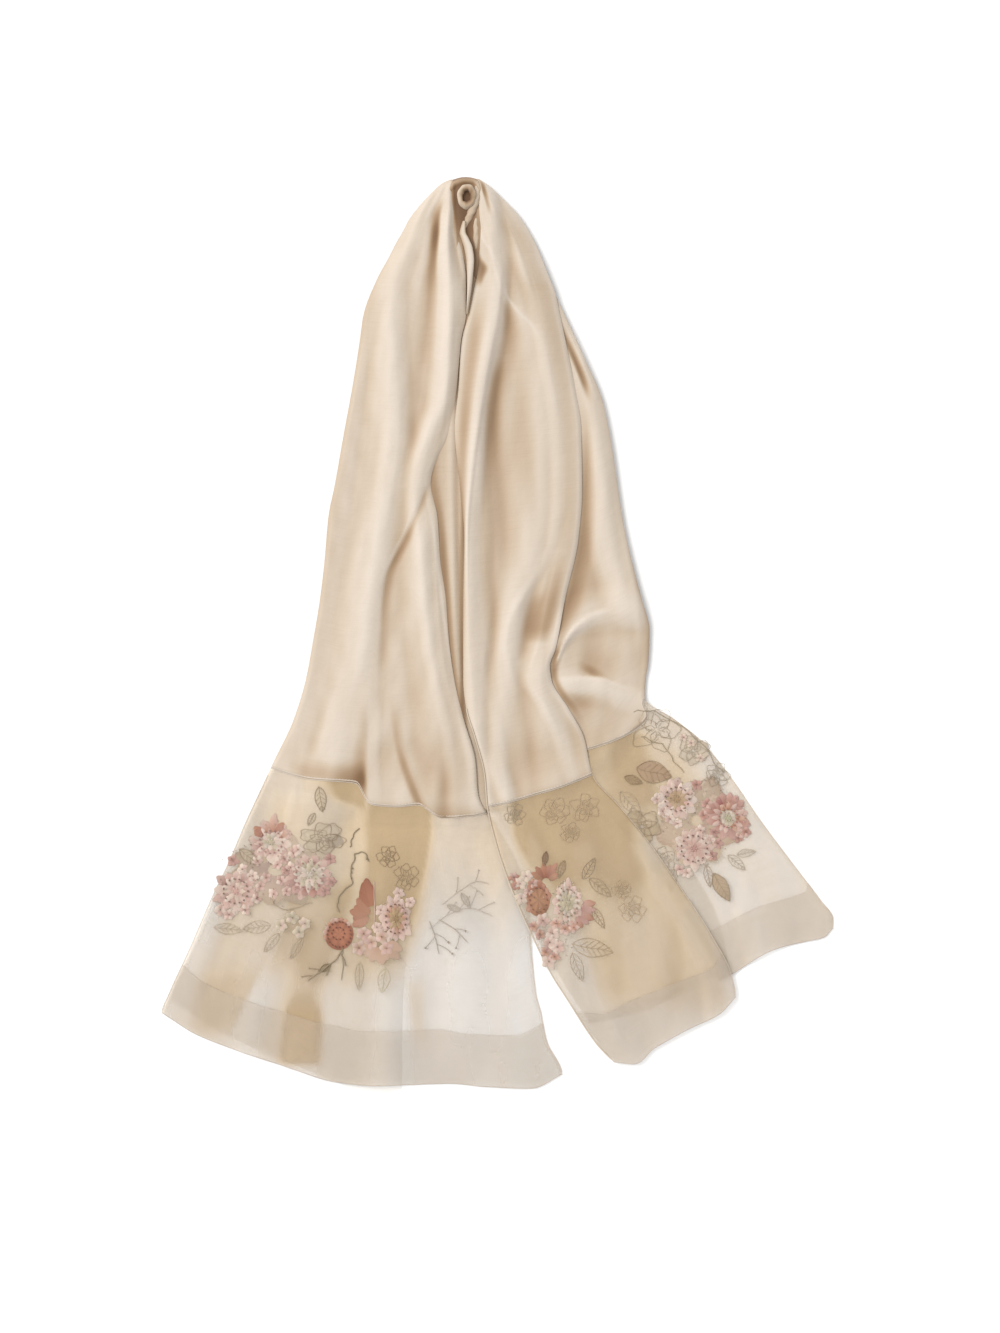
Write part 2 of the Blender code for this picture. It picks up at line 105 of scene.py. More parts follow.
# ---- fabrics
# The silk is a fine plain weave with slubs, thick and thin places in its threads, and a soft sheen.
# The organza is the same weave in sheer crisp threads, and its hems are doubled.
def add_node(tree, kind, values=(), links=(), **settings):
    """A shader node with its settings, its fixed input values and the sockets that feed it."""
    item = tree.nodes.new("ShaderNode" + kind)
    for name, value in settings.items():
        setattr(item, name, value)
    for key, value in dict(values).items():
        item.inputs[key].default_value = value
    for key, socket in dict(links).items():
        tree.links.new(socket, item.inputs[key])
    return item


def arithmetic(tree, operation, first, second=None):
    """One Math node: each operand is a socket or a number."""
    item = add_node(tree, "Math", operation=operation)
    for slot, operand in enumerate((first, second)):
        if hasattr(operand, "is_linked"):
            tree.links.new(operand, item.inputs[slot])
        elif operand is not None:
            item.inputs[slot].default_value = operand
    return item.outputs[0]


def tone(red, green, blue):
    """The surface colour that looks like this 0 to 255 screen colour where the window lights it fully."""
    screen = np.array([red, green, blue]) / 255
    linear = np.where(screen <= 0.04045, screen / 12.92, ((screen + 0.055) / 1.055) ** 2.4)
    return tuple(linear / FULL_LIGHT)


FULL_LIGHT = 1.56
THREAD_PITCH = 0.5 * MM


def plain_weave():
    """A node group: the height of a plain weave and its slubs, both 0 to 1, from cloth metres.

    The weave is the product of two sine waves, one along each thread direction.  The slubs are
    noise stretched along the weft, with a weaker set along the warp.
    """
    tree = bpy.data.node_groups.new("plain weave", "ShaderNodeTree")
    for name, way, kind in (("cloth", "IN", "Vector"), ("height", "OUT", "Float"), ("slubs", "OUT", "Float")):
        tree.interface.new_socket(name, in_out=way + "PUT", socket_type="NodeSocket" + kind)
    start, end = tree.nodes.new("NodeGroupInput"), tree.nodes.new("NodeGroupOutput")
    parts = add_node(tree, "SeparateXYZ", links={0: start.outputs[0]})
    waves = [arithmetic(tree, "SINE", arithmetic(tree, "MULTIPLY", parts.outputs[axis], np.pi / THREAD_PITCH))
             for axis in (0, 1)]
    height = arithmetic(tree, "MULTIPLY_ADD", arithmetic(tree, "MULTIPLY", *waves), 0.5)
    height.node.inputs[2].default_value = 0.5
    streaks = []
    for stretch_by in ((30, 900, 1), (700, 22, 1)):
        mapped = add_node(tree, "Mapping", {"Scale": stretch_by}, {"Vector": start.outputs[0]})
        noise = add_node(tree, "TexNoise", {"Scale": 1.0, "Detail": 2.0}, {"Vector": mapped.outputs[0]})
        streaks.append(noise.outputs["Fac"])
    weft = add_node(tree, "MapRange", {"From Min": 0.45, "From Max": 0.72}, {"Value": streaks[0]})
    warp = add_node(tree, "MapRange", {"From Min": 0.50, "From Max": 0.80}, {"Value": streaks[1]})
    slubs = arithmetic(tree, "MAXIMUM", weft.outputs[0], arithmetic(tree, "MULTIPLY", warp.outputs[0], 0.6))
    tree.links.new(height, end.inputs["height"])
    tree.links.new(slubs, end.inputs["slubs"])
    return tree


WEAVE = plain_weave()


def woven(finish, tree, shader, relief):
    """Puts the weave on a material: its threads and slubs as relief, `relief` metres deep."""
    cloth = add_node(tree, "UVMap", uv_map="cloth")
    weave = tree.nodes.new("ShaderNodeGroup")
    weave.node_tree = WEAVE
    tree.links.new(cloth.outputs[0], weave.inputs[0])
    raised = arithmetic(tree, "MULTIPLY_ADD", weave.outputs["slubs"], 0.8)
    tree.links.new(weave.outputs["height"], raised.node.inputs[2])
    fine = add_node(tree, "Bump", {"Strength": 0.5, "Distance": relief}, {"Height": raised})
    place = add_node(tree, "TexCoord")
    rumple = add_node(tree, "TexNoise", {"Scale": 46.0, "Detail": 3.0, "Roughness": 0.5},
                      {"Vector": place.outputs["Object"]})
    soft = add_node(tree, "Bump", {"Strength": 0.35, "Distance": 3.0 * MM},
                    {"Height": rumple.outputs["Fac"], "Normal": fine.outputs[0]})
    along = add_node(tree, "Mapping", {"Scale": (120, 14, 1)}, {"Vector": cloth.outputs[0]})
    streaks = add_node(tree, "TexNoise", {"Scale": 1.0, "Detail": 3.0}, {"Vector": along.outputs[0]})
    drawn = add_node(tree, "Bump", {"Strength": 0.35, "Distance": 0.5 * MM},
                     {"Height": streaks.outputs["Fac"], "Normal": soft.outputs[0]})
    tree.links.new(drawn.outputs[0], shader.inputs["Normal"])
    return weave


def multiplied(tree, colour, by, amount=1.0):
    """A colour multiplied by another one, to an amount.  Each is a socket or a value."""
    item = add_node(tree, "Mix", data_type="RGBA", blend_type="MULTIPLY")
    for slot, operand in ((0, amount), (6, colour), (7, by)):
        if hasattr(operand, "is_linked"):
            tree.links.new(operand, item.inputs[slot])
        else:
            item.inputs[slot].default_value = operand
    return item.outputs[2]


def set_shade_ramp(ramp, *stops):
    """Sets the stops of a colour ramp that paints light and shade, each a position and a colour."""
    while len(ramp.color_ramp.elements) < len(stops):
        ramp.color_ramp.elements.new(1.0)
    for element, (position, colour) in zip(ramp.color_ramp.elements, stops):
        element.position = position
        element.color = (*colour, 1)


def silk():
    """Champagne silk, with shade painted into its colour: it deepens by a painted-shade attribute, 0 to 2,
    where the cloth lies low.
    """
    settings = {"Sheen Weight": 0.20, "Sheen Roughness": 0.5, "Specular IOR Level": 0.22}
    finish, tree, shader = new_material("champagne silk", (0.56, 0.47, 0.37), 0.60, settings)
    weave = woven(finish, tree, shader, relief=0.10 * MM)
    # painted shade: the ramp darkens and warms the silk where it lies low or in a shaded fold
    depth = add_node(tree, "Attribute", attribute_name="hollow")
    halved = arithmetic(tree, "MULTIPLY", depth.outputs["Fac"], 0.5)
    ramp = add_node(tree, "ValToRGB", links={"Fac": halved})
    set_shade_ramp(ramp, (0.0, tone(240, 226, 211)), (0.175, tone(232, 216, 197)), (0.32, tone(217, 195, 170)),
          (0.5, tone(190, 161, 130)), (0.75, tone(148, 114, 82)), (1.0, tone(104, 74, 50)))
    slubs = arithmetic(tree, "MULTIPLY", weave.outputs["slubs"], 0.35)
    tree.links.new(multiplied(tree, ramp.outputs["Color"], (0.90, 0.875, 0.84, 1), slubs),
                   shader.inputs["Base Color"])
    return finish


def sheer():
    """Organza: sheer crisp threads with gaps between them, so that what lies below shows.

    The attribute "cover" is the share of the surface that threads fill.  The attribute "layers" is 0
    where one layer lies on the white surface and 1 where many do.  Its colour ramp paints the light
    that passes to and fro between them: a painted glow over a few layers, and over many a deeper tan,
    part the cloth's own colour stacked up and part painted shade.
    """
    finish, tree, shader = new_material("sheer organza", tone(205, 185, 165), 0.42,
                                        {"Sheen Weight": 0.15, "Specular IOR Level": 0.3})
    finish.surface_render_method = "BLENDED"
    weave = woven(finish, tree, shader, relief=0.06 * MM)
    cover = add_node(tree, "Attribute", attribute_name="cover")
    layers = add_node(tree, "Attribute", attribute_name="layers")
    ramp = add_node(tree, "ValToRGB", links={"Fac": layers.outputs["Fac"]})
    # painted light and shade over the layers below: a glow over a few, a deeper tan over many
    set_shade_ramp(ramp, (0.0, (0.415, 0.372, 0.325)), (0.45, (0.60, 0.50, 0.39)), (0.75, (0.62, 0.49, 0.335)),
          (1.0, (0.475, 0.348, 0.205)))
    tree.links.new(multiplied(tree, ramp.outputs["Color"], (0.95, 0.94, 0.92, 1), weave.outputs["slubs"]),
                   shader.inputs["Base Color"])
    threads = arithmetic(tree, "MULTIPLY_ADD", weave.outputs["slubs"], 0.02)
    tree.links.new(cover.outputs["Fac"], threads.node.inputs[2])
    tree.links.new(threads, shader.inputs["Alpha"])
    return finish


SILK = silk()
ORGANZA = sheer()


# ---- the hidden folded layers
# Most of the centre panel is folded away under the stretches that show.  Those layers are one rounded
# form with its folds stacked at the edges.  Places are lengths across, and down from the pinch.
PLAIN_COLUMNS = ("share", "cover", "tone", "step")  # the others are lengths


def table(names, *rows):
    """A short table as named columns, a row for each section, with its lengths turned to metres."""
    columns = zip(names.split(), np.array(rows, float).T)
    return {name: column if name in PLAIN_COLUMNS else column * MM for name, column in columns}


def smooth_curve(at, knots, values):
    """The monotone cubic curve through the points (knots, values), read at `at`.

    It never overshoots its points, and holds its end values beyond them.
    """
    gaps = np.diff(knots)
    slopes = np.diff(values) / gaps
    tangents = np.concatenate(([slopes[0]], np.zeros(len(knots) - 2), [slopes[-1]]))
    before, after = slopes[:-1], slopes[1:]
    agree = before * after > 0
    tangents[1:-1][agree] = 2 * before[agree] * after[agree] / (before + after)[agree]
    step = np.clip(np.searchsorted(knots, at) - 1, 0, len(knots) - 2)
    t = np.clip((at - knots[step]) / gaps[step], 0, 1)
    return ((1 + 2 * t) * (1 - t) ** 2 * values[step]
            + t * (1 - t) ** 2 * gaps[step] * tangents[step]
            + t * t * (3 - 2 * t) * values[step + 1]
            - t * t * (1 - t) * gaps[step] * tangents[step + 1])


def read(rows, name, at):
    """One column of a table, read smoothly along its first column."""
    return smooth_curve(at, rows[next(iter(rows))], rows[name])


def rise01(t):
    """A smooth step from 0 to 1 as t goes from 0 to 1."""
    t = np.clip(t, 0, 1)
    return t * t * (3 - 2 * t)


def starting(down, start, length):
    """0 above `start`, rising smoothly to 1 over `length` below it."""
    return rise01((down - start) / length)


LEFT_SIDES = table("down left right", (0, -47, -45), (3, -50, -46), (6, -57, -46), (10.5, -63, -47),
                   (15, -67.5, -48), (27, -79, -47), (44, -92.5, -42.5), (59, -100.5, -42), (70, -107, -39),
                   (84, -114, -36), (108, -127, -33), (145, -141, -33), (172, -145, -38), (192, -148, -40),
                   (234, -155, -44), (266, -161, -50), (323, -171, -70), (358, -178, -63), (403, -182, -60),
                   (445, -187, -54), (487, -194, -51), (530, -202, -45), (572, -215, -35), (614, -235, -23),
                   (650, -252, -20), (680, -266, -4), (720, -283, 19), (760, -302, 32), (813, -325, 36),
                   (861, -347, 41), (880, -354, 46), (910, -354, 52), (943, -354, 68), (967, -354, 70))
RIGHT_SIDES = table("down left right", (0, -23, -21), (3, -22, -18), (6, -21, -13), (23, -20, 6),
                    (40, -20.5, 22), (56, -18, 32.5), (70, -18.5, 40), (88, -19.5, 47.5), (102, -21, 53),
                    (120, -25, 60), (142, -29, 65), (175, -38, 72), (224, -41, 82), (264, -45, 88),
                    (331, -39, 89), (382, -35, 85), (445, -36, 71), (497, -36, 61), (515, -36, 55),
                    (530, -36, 57), (560, -33, 75), (590, -24, 91), (629, -14, 100), (663, -11, 129),
                    (698, -3, 158), (741, 11, 188), (799, 36, 226), (841, 57, 247), (863, 71, 251),
                    (913, 104, 251), (934, 124, 251))
OUTER_SIDES = table("down right", (100, 50), (150, 73), (192, 92), (234, 110), (276, 119), (361, 132),
                    (403, 141), (445, 152), (477, 160), (509, 159), (530, 156), (548, 155), (572, 188),
                    (593, 214), (635, 248), (677, 277), (720, 309), (762, 341), (781, 354), (850, 354))
HIDDEN_HEIGHTS = table("down crown edge", (0, 4, 3), (12, 9, 4.5), (36, 11, 6), (70, 13, 6), (150, 13, 6),
                       (300, 11.5, 6), (450, 9.5, 5.5), (600, 7, 4.5), (655, 6, 3.5))
HIDDEN_ENDS = table("share foot", (0, 606), (0.07, 618), (0.11, 648), (0.24, 652), (0.28, 640), (0.5, 642),
                    (0.62, 644), (0.72, 630), (0.86, 606), (0.95, 572), (1, 544))
HIDDEN_START = 1.0 * MM
PINCH_ARCH = 5.0 * MM  # how far the arched top of the pinch falls at its sides
HIDDEN_INSET = 3 * MM
HIDDEN_FOOT = 3.0 * MM
HIDDEN_REACH = 151 * MM
HIDDEN_THINNING = 70 * MM
OUTLINE_MEETS = 113 * MM
CURL_DOWN = 500 * MM
EDGE_FOLDS = 6  # folded edges that can be counted at each side
CLEARANCE = 3.0 * MM  # the hidden form stays this far below the stretches, for their creases
CLEARANCE_EASING = 14 * MM
SINK_GAP, SINK_LENGTH = 12 * MM, 30 * MM  # past the lower end of the hidden layers
SINK_ASIDE_GAP, SINK_ASIDE_LENGTH = 8 * MM, 28 * MM  # past their right side, below the curl


def hidden_sides(down):
    """The left and right edges of the hidden layers, just inside the outline."""
    right_outline = np.where(down < OUTLINE_MEETS, read(RIGHT_SIDES, "right", down),
                             read(OUTER_SIDES, "right", down))
    left = read(LEFT_SIDES, "left", down) + HIDDEN_INSET
    return left, np.minimum(right_outline - HIDDEN_INSET, HIDDEN_REACH)


def hidden_top(across, down):
    """The rounded top of the hidden layers, and how cloth sinks softly to the floor beyond their ends."""
    left, right = hidden_sides(down)
    share = np.clip((across - left) / (right - left), 0, 1)
    crown, edge = read(HIDDEN_HEIGHTS, "crown", down), read(HIDDEN_HEIGHTS, "edge", down)
    height = edge + (crown - edge) * (1 - np.abs(2 * share - 1) ** 2.5)
    foot = read(HIDDEN_ENDS, "foot", share)
    height = HIDDEN_FOOT + (height - HIDDEN_FOOT) * rise01((foot - down) / HIDDEN_THINNING)
    sunk_below = starting(down, foot + SINK_GAP, SINK_LENGTH)
    sunk_aside = starting(across, right + SINK_ASIDE_GAP, SINK_ASIDE_LENGTH) * (down > CURL_DOWN)
    return height * (1 - sunk_below) * (1 - sunk_aside)


def place(across, down, height):
    """Points in the part's frame, from lengths across, down and up."""
    return np.stack([across, LAID_LENGTH / 2 - down, height], axis=-1)


def side_spacing(columns):
    """Shares 0 to 1 that lie closer together at the two sides, where the cloth turns over."""
    t = np.linspace(0, 1, columns)
    return t - 0.5 * np.sin(2 * np.pi * t) / (2 * np.pi)


def paint(piece, name, values):
    """Stores one number for each point of a piece, for its material to read."""
    layer = piece.data.attributes.new(name, "FLOAT", "POINT")
    layer.data.foreach_set("value", np.ascontiguousarray(values, dtype=np.float32).ravel())


def unwrap(piece, flat):
    """Stores the cloth's own flat place of each point, in metres, as its UV map."""
    layer = piece.data.uv_layers.new(name="cloth")
    corners = np.empty(len(piece.data.loops), dtype=np.int32)
    piece.data.loops.foreach_get("vertex_index", corners)
    layer.data.foreach_set("uv", flat.reshape(-1, 2)[corners].astype(np.float32).ravel())


def flat_places(aside, along):
    """The cloth's own flat places, from its lengths aside and along in metres."""
    return np.stack(np.broadcast_arrays(aside, along), -1)


def lay(name, points, faces, flat, finish=SILK, **paints):
    """A piece that lies on the surface: its mesh, its flat cloth places and its painted attributes."""
    piece = put_mesh(name, points.reshape(-1, 3), faces, finish)
    unwrap(piece, flat)
    for attribute, values in paints.items():
        paint(piece, attribute, values)
    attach(piece, "root")
    return piece


FOLD_BULGE, FOLD_SETBACK = 1.2 * MM, 1.4 * MM


def hidden_folds(stations=150, crown_columns=40):
    """One rounded form on a flat base, with its folds stacked as rounded steps at each side.

    Each ring starts at the base's left corner and runs right along the base, up the right side,
    back across the top and down the left side.
    """
    share_across = side_spacing(crown_columns)
    turn = np.linspace(0.04, 0.96, 5)
    layer = (np.arange(EDGE_FOLDS)[:, None] + turn).ravel() / EDGE_FOLDS
    bulge = np.tile(np.sin(np.pi * turn), EDGE_FOLDS) * FOLD_BULGE
    foot_down = read(HIDDEN_ENDS, "foot", share_across)
    rings = []
    for along in np.linspace(0, 1, stations):
        start_down = HIDDEN_START + PINCH_ARCH * (2 * share_across - 1) ** 2
        down = start_down + (foot_down - start_down) * along
        left, right = hidden_sides(down)
        across = left + (right - left) * share_across
        inside = np.minimum(across - left, right - across)
        lowered = CLEARANCE * rise01(inside / CLEARANCE_EASING) * starting(down, 60 * MM, length=60 * MM)
        top = hidden_top(across, down) - lowered
        uneven = 0.5 + 0.5 * np.sin(np.arange(EDGE_FOLDS) * 2.4 + 9 * along)
        setback = np.repeat(uneven, turn.size) * FOLD_SETBACK
        side_heights = layer[:, None] * top[[0, -1]]
        left_side = place(across[0] - bulge + setback, np.full(bulge.shape, down[0]), side_heights[:, 0])
        right_side = place(across[-1] + bulge - setback, np.full(bulge.shape, down[-1]), side_heights[:, 1])
        crown = place(across, down, top)
        base = place(across, down, np.zeros_like(across))
        rings.append(np.concatenate([base, right_side, crown[::-1], left_side[::-1]]))
    points = np.array(rings)
    size = points.shape[1]
    index = np.arange(stations * size).reshape(stations, size)
    start, finish = index[:-1], index[1:]
    skin = np.stack([np.roll(start, -1, 1), np.roll(finish, -1, 1), finish, start], -1).reshape(-1, 4)
    low = np.arange(crown_columns - 1)
    high = size - layer.size - 1 - low
    cap = np.stack([low, low + 1, high - 1, high], -1)
    faces = np.concatenate([skin, cap[:, ::-1], cap + index[-1, 0]])
    flat = flat_places(np.linspace(0, 0.6, size), np.linspace(0, 0.65, stations)[:, None])
    # painted shade on the hidden layers, deepest near the pinch
    near_pinch = 1 - starting(LAID_LENGTH / 2 - points[..., 1], 90 * MM, length=90 * MM)
    return lay("hidden_folds", points, faces, flat, hollow=0.75 + 0.75 * near_pinch)


hidden = hidden_folds()
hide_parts("hidden_layers")


# ---- the low centre strip
# Between the two halves a low strip of the panel shows: a narrow lit fold with a dark line beside it.
# Each crease is a ridge, or a trough where its rise is below zero, with its own flank on either side.
FOLD_FULLNESS = 0.68
ROUNDED, CRISP = 0.55, 0.45  # the shares of a broad fold's two forms
POINT = 0.22  # how far a crest is rounded, as a share of its flank; more on the organza
SILK_WALL = 1.7 * MM
LAY_GAP = 0.6 * MM
SHELL = 0.4 * MM  # the thickness of the silk as it shows at an edge
CENTRE_TOP, CENTRE_FOOT = 46 * MM, 667 * MM


def crease(*rows):
    """A fold that runs down: its crest, the widths of its flanks and its rise, by the distance down."""
    return table("down across left right rise", *rows)


CENTRE_SIDES = table("down left right", (44, -50, -14), (100, -52, -14), (160, -52, -16), (240, -57, -28),
                     (323, -80, -26), (400, -72, -22), (500, -62, -22), (600, -40, -6), (668, -36, 6))
CENTRE_CREASES = (
    crease((150, -44, 5, 4, 0), (200, -45, 6, 4, 1.5), (300, -49, 7, 5, 1.5), (400, -47, 8, 5, 2),
           (480, -45, 8, 5, 2), (540, -40, 6, 4, 1.5), (580, -34, 5, 4, 0)),
    crease((120, -38, 4, 4, 0), (180, -40, 4, 4, -1.2), (300, -42, 4, 4, -1.5), (480, -38, 4, 4, -1.5),
           (560, -33, 4, 4, -1), (600, -28, 4, 4, 0)),
)


def flanks(fold, across, down):
    """How far each place lies from a fold's crest, -1 to 1 at the feet of its flanks, and the rise there."""
    along, aside = (down, across) if "left" in fold else (across, down)
    _, crest, before, after, rise = fold
    offset = aside - read(fold, crest, along)
    flank = np.where(offset < 0, read(fold, before, along), read(fold, after, along))
    return np.clip(offset / flank, -1, 1), read(fold, rise, along)


def ridges(folds, across, down, fullness=1.0):
    """Rounded folds, summed: each is its rise times (1 - t^2)^2, t from 0 at the crest to 1 at a foot."""
    places = [flanks(fold, across, down) for fold in folds]
    return np.sum([fullness * rise * (1 - t ** 2) ** 2 for t, rise in places], axis=0)


def creases(folds, across, down, fullness=0.62):
    """Creases with a tighter crest and straighter flanks, as crisp silk folds, summed.

    Each is a tent with its point rounded off, raised to a power that eases its foot.
    """
    point = POINT + 0.8 * starting(down, 670 * MM, length=40 * MM)
    total = 0
    for t, rise in [flanks(fold, across, down) for fold in folds]:
        tent = 1 - (np.sqrt(t * t + point ** 2) - point) / (np.sqrt(1 + point ** 2) - point)
        total = total + rise * tent ** 1.4
    return fullness * total


def full_folds(folds, across, down):
    """The broad folds that the solids share, made part rounded and part crisp."""
    return (ROUNDED * ridges(folds, across, down, FOLD_FULLNESS)
            + CRISP * creases(folds, across, down, FOLD_FULLNESS))


def unevenness(across, down, seed, size):
    """Small soft swells: waves of many lengths, about twice as long down the cloth as across it."""
    chance = np.random.default_rng(seed)
    total = np.zeros(np.broadcast(across, down).shape)
    for length in np.geomspace(16 * MM, 80 * MM, 16):
        turn = chance.normal(0, 0.5)
        step = np.cos(turn) * across + 0.45 * np.sin(turn) * down + 0.12 * down * chance.normal()
        total += (length / (60 * MM)) * np.sin(2 * np.pi * (step / length + chance.random()))
    return size * total / 2.0


def grid(left, right, start, end, columns, rows):
    """The places across and down of a stretch, and its flat places in metres."""
    share = side_spacing(columns)[None, :]
    along = np.linspace(0, 1, rows)[:, None]
    down = start(share) + (end(share) - start(share)) * along
    across = left(down) + (right(down) - left(down)) * share
    width = np.mean(across[:, -1] - across[:, 0])
    length = np.mean(down[-1] - down[0])
    return across, down, flat_places(share * width, along * length)


def softened(values, reach):
    """Values averaged under a bell curve whose spread is (rows, columns) grid steps."""
    for axis, spread in enumerate(reach):
        steps = np.arange(-3 * spread, 3 * spread + 1)
        bell = np.exp(-0.5 * (steps / spread) ** 2)
        margin = [(3 * spread, 3 * spread) if axis == side else (0, 0) for side in (0, 1)]
        values = np.apply_along_axis(np.convolve, axis, np.pad(values, margin, mode="edge"),
                                     bell / bell.sum(), "valid")
    return values


HOLLOW_DEPTH = 5.0 * MM


def hollow(height, reach=(5, 7)):
    """How low each point lies beside its surroundings, which sets its painted shade: 0.35 where level, 1 in a
    deep trough.
    """
    return np.clip(0.35 + (softened(height, reach) - height) / HOLLOW_DEPTH, 0, 1)


def quads(index):
    """The faces between the numbered points of a grid, or of a stack of grids."""
    corners = (index[..., :-1, :-1], index[..., 1:, :-1], index[..., 1:, 1:], index[..., :-1, 1:])
    return np.stack(corners, -1).reshape(-1, 4)


def cloth(name, across, down, flat, height, finish, thickness=0.0, shade=None, **paints):
    """A sheet on a grid of places, or a closed thin shell below that height if it has a thickness."""
    rows, columns = across.shape
    points = place(across, down, height).reshape(-1, 3)
    index = np.arange(rows * columns).reshape(rows, columns)
    faces = quads(index)
    # painted shade where the sheet lies low, unless a shade is given
    shade = hollow(height) if shade is None else shade
    if thickness:
        rim = np.concatenate([index[0, :-1], index[:-1, -1], index[-1, :0:-1], index[:0:-1, 0]])
        after = np.roll(rim, -1)
        below = rows * columns
        sides = np.stack([rim, after, after + below, rim + below], -1)
        faces = np.concatenate([faces, faces[:, ::-1] + below, sides])
        points = np.concatenate([points, place(across, down, height - thickness).reshape(-1, 3)])
        flat = np.concatenate([flat.reshape(-1, 2)] * 2)
        shade = np.concatenate([shade.ravel()] * 2)
    return lay(name, points, faces, flat, finish, hollow=shade, **paints)


def column(rows, name):
    """One column of a table as a function of its first column."""
    return lambda at: read(rows, name, at)


def level(value):
    """A straight side or end: the same value all along."""
    return lambda at: value + 0 * at


def edge_roll(across, down, left, right, drop=1.6 * MM, reach=5 * MM):
    """How far the cloth has turned down at its two sides: a parabola, `reach` wide."""
    inside = np.minimum(across - left(down), right(down) - across)
    return drop * np.clip(1 - inside / reach, 0, 1) ** 2


def merging(across, down, right, drop=1.15 * MM, reach=16 * MM):
    """How far the right side eases down onto the stretch below it, until both part: a parabola."""
    t = np.clip(1 - (right(down) - across) / reach, 0, 1)
    return drop * t * t * (1 - starting(down, 440 * MM, length=40 * MM))


across, down, flat = grid(column(CENTRE_SIDES, "left"), column(CENTRE_SIDES, "right"), level(CENTRE_TOP),
                          level(CENTRE_FOOT), 40, 240)
height = hidden_top(across, down) + LAY_GAP + SILK_WALL + creases(CENTRE_CREASES, across, down)
CENTRE_SHADES = (
    # painted shade beside the left half, then a lit ridge, then a line of painted shade beside the right half
    crease((150, -36, 8, 10, 0.5), (240, -52, 8, 12, 0.5), (300, -72, 10, 14, 0.5), (361, -62, 6, 9, 0.6),
           (424, -56, 6, 9, 0.7), (519, -47, 6, 8, 0.7), (560, -40, 6, 8, 0.7), (660, -30, 6, 8, 0.7)),
    crease((250, -36, 3, 3, 0), (300, -37, 4, 4, 0.5), (355, -36, 4, 4, 0.6), (414, -37, 4, 4, 0.6),
           (551, -37, 4, 4, 0.5), (600, -30, 4, 4, 0)),
)
# painted shade over the strip: a base depth, deeper near the pinch, and the marks of the table above
near_pinch = 1 - starting(down, 70 * MM, length=120 * MM)
shade = hollow(height) + 0.25 + 0.5 * near_pinch + ridges(CENTRE_SHADES, across, down) / MM
centre = cloth("silk_centre_strip", across, down, flat, height, SILK, SHELL, shade)
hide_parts("silk_centre")


# ---- organza folded behind each end
# Part of each organza end is folded behind the front stretch and lies flat there, very sheer, as the
# front stretch covers it.  What matters most is made with the fronts: the pleats between the two.
ORGANZA_WALL = 1.2 * MM
LEFT_BACK_SIDES = table("down left right", (658, -250, -74), (720, -276, -80), (800, -314, -94),
                        (880, -346, -100), (967, -346, -101))
LEFT_BACK_ENDS = table("share top foot", (0, 660, 868), (0.25, 660, 905), (0.5, 660, 932), (0.7, 660, 952),
                       (0.8, 660, 962), (0.9, 660, 967), (1, 660, 961))
RIGHT_BACK_SIDES = table("down left right", (660, 27, 150), (700, 27, 184), (741, 38, 212), (780, 44, 232),
                         (835, 62, 243), (890, 96, 243))
RIGHT_BACK_ENDS = table("share top foot", (0, 671, 892), (0.4, 671, 880), (1, 668, 838))


def sheer_sheet(name, across, down, flat, height, cover, layers=0.4):
    """A layer of organza with the same cover all over."""
    return cloth(name, across, down, flat, height, ORGANZA, cover=np.full(across.shape, cover),
                 layers=np.full(across.shape, layers))


def folded_back(name, sides, ends, cover):
    """The organza behind an end: a flat sheet, just above the surface."""
    back = grid(column(sides, "left"), column(sides, "right"), column(ends, "top"), column(ends, "foot"),
                60, 60)
    height = 0.6 * MM + unevenness(back[0], back[1], seed=5, size=0.2 * MM)
    return sheer_sheet(name, *back, height, cover)


left_back = folded_back("organza_left_folded", LEFT_BACK_SIDES, LEFT_BACK_ENDS, cover=0.16)
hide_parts("organza_left_back")
right_back = folded_back("organza_right_folded", RIGHT_BACK_SIDES, RIGHT_BACK_ENDS, cover=0.30)
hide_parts("organza_right_back")


# ---- the outer stretch of the right half
# The centre panel's outer stretch lies lower than the front one.  Its silk scoops up in a curl above
# the seam, and its organza end fans out to the right.
SEAM_GAP = 0.4 * MM
TUCKED = 2.5 * MM  # how far the organza runs in under the silk
HEM_WALL = 1.0 * MM
OVERLAP = 16 * MM
OUTER_ENDS = table("share top seam foot", (0, 106, 606, 847), (0.16, 106, 601, 838), (0.53, 106, 584, 814),
                   (0.8, 107, 568, 805), (0.93, 108, 556, 801), (1, 110, 550, 791))
OUTER_FOLDS = (
    crease((150, 74, 12, 8, 0), (234, 99, 16, 12, 4), (340, 112, 22, 18, 6.5), (403, 121, 26, 20, 7),
           (450, 136, 28, 22, 6), (480, 146, 26, 18, 0)),
    crease((640, 150, 34, 38, 0), (720, 222, 34, 40, 4), (810, 282, 36, 40, 4.5), (850, 290, 36, 40, 4)),
)


def crossing(*rows):
    """A fold that runs across: its crest, the widths of its flanks and its rise, by the place across."""
    return table("across down up below rise", *rows)


OUTER_CURL = (
    crossing((50, 505, 30, 20, 0), (66, 484, 34, 20, 6), (85, 468, 36, 22, 8), (105, 460, 36, 24, 8),
             (130, 456, 34, 26, 6), (162, 458, 30, 26, 3)),
    crossing((55, 536, 16, 22, 0), (76, 536, 14, 22, 5), (100, 538, 14, 22, 6), (130, 547, 16, 20, 5),
             (160, 554, 18, 20, 2)),
)
CURL_FULLNESS = 0.40
OUTER_CREASES = (
    crease((150, 62, 4, 5, 0), (191, 82, 5, 7, -2.5), (215, 90, 5, 8, -2.5), (236, 97, 5, 6, 0)),
    crease((240, 94, 6, 8, 0), (300, 95, 8, 10, -2.5), (382, 90, 10, 14, -3), (430, 80, 10, 16, -3),
           (470, 70, 8, 14, -2), (490, 66, 8, 10, 0)),
    crease((300, 128, 8, 8, 0), (380, 134, 9, 9, 1.2), (450, 148, 9, 8, 1.5), (520, 152, 8, 6, 0)),
)
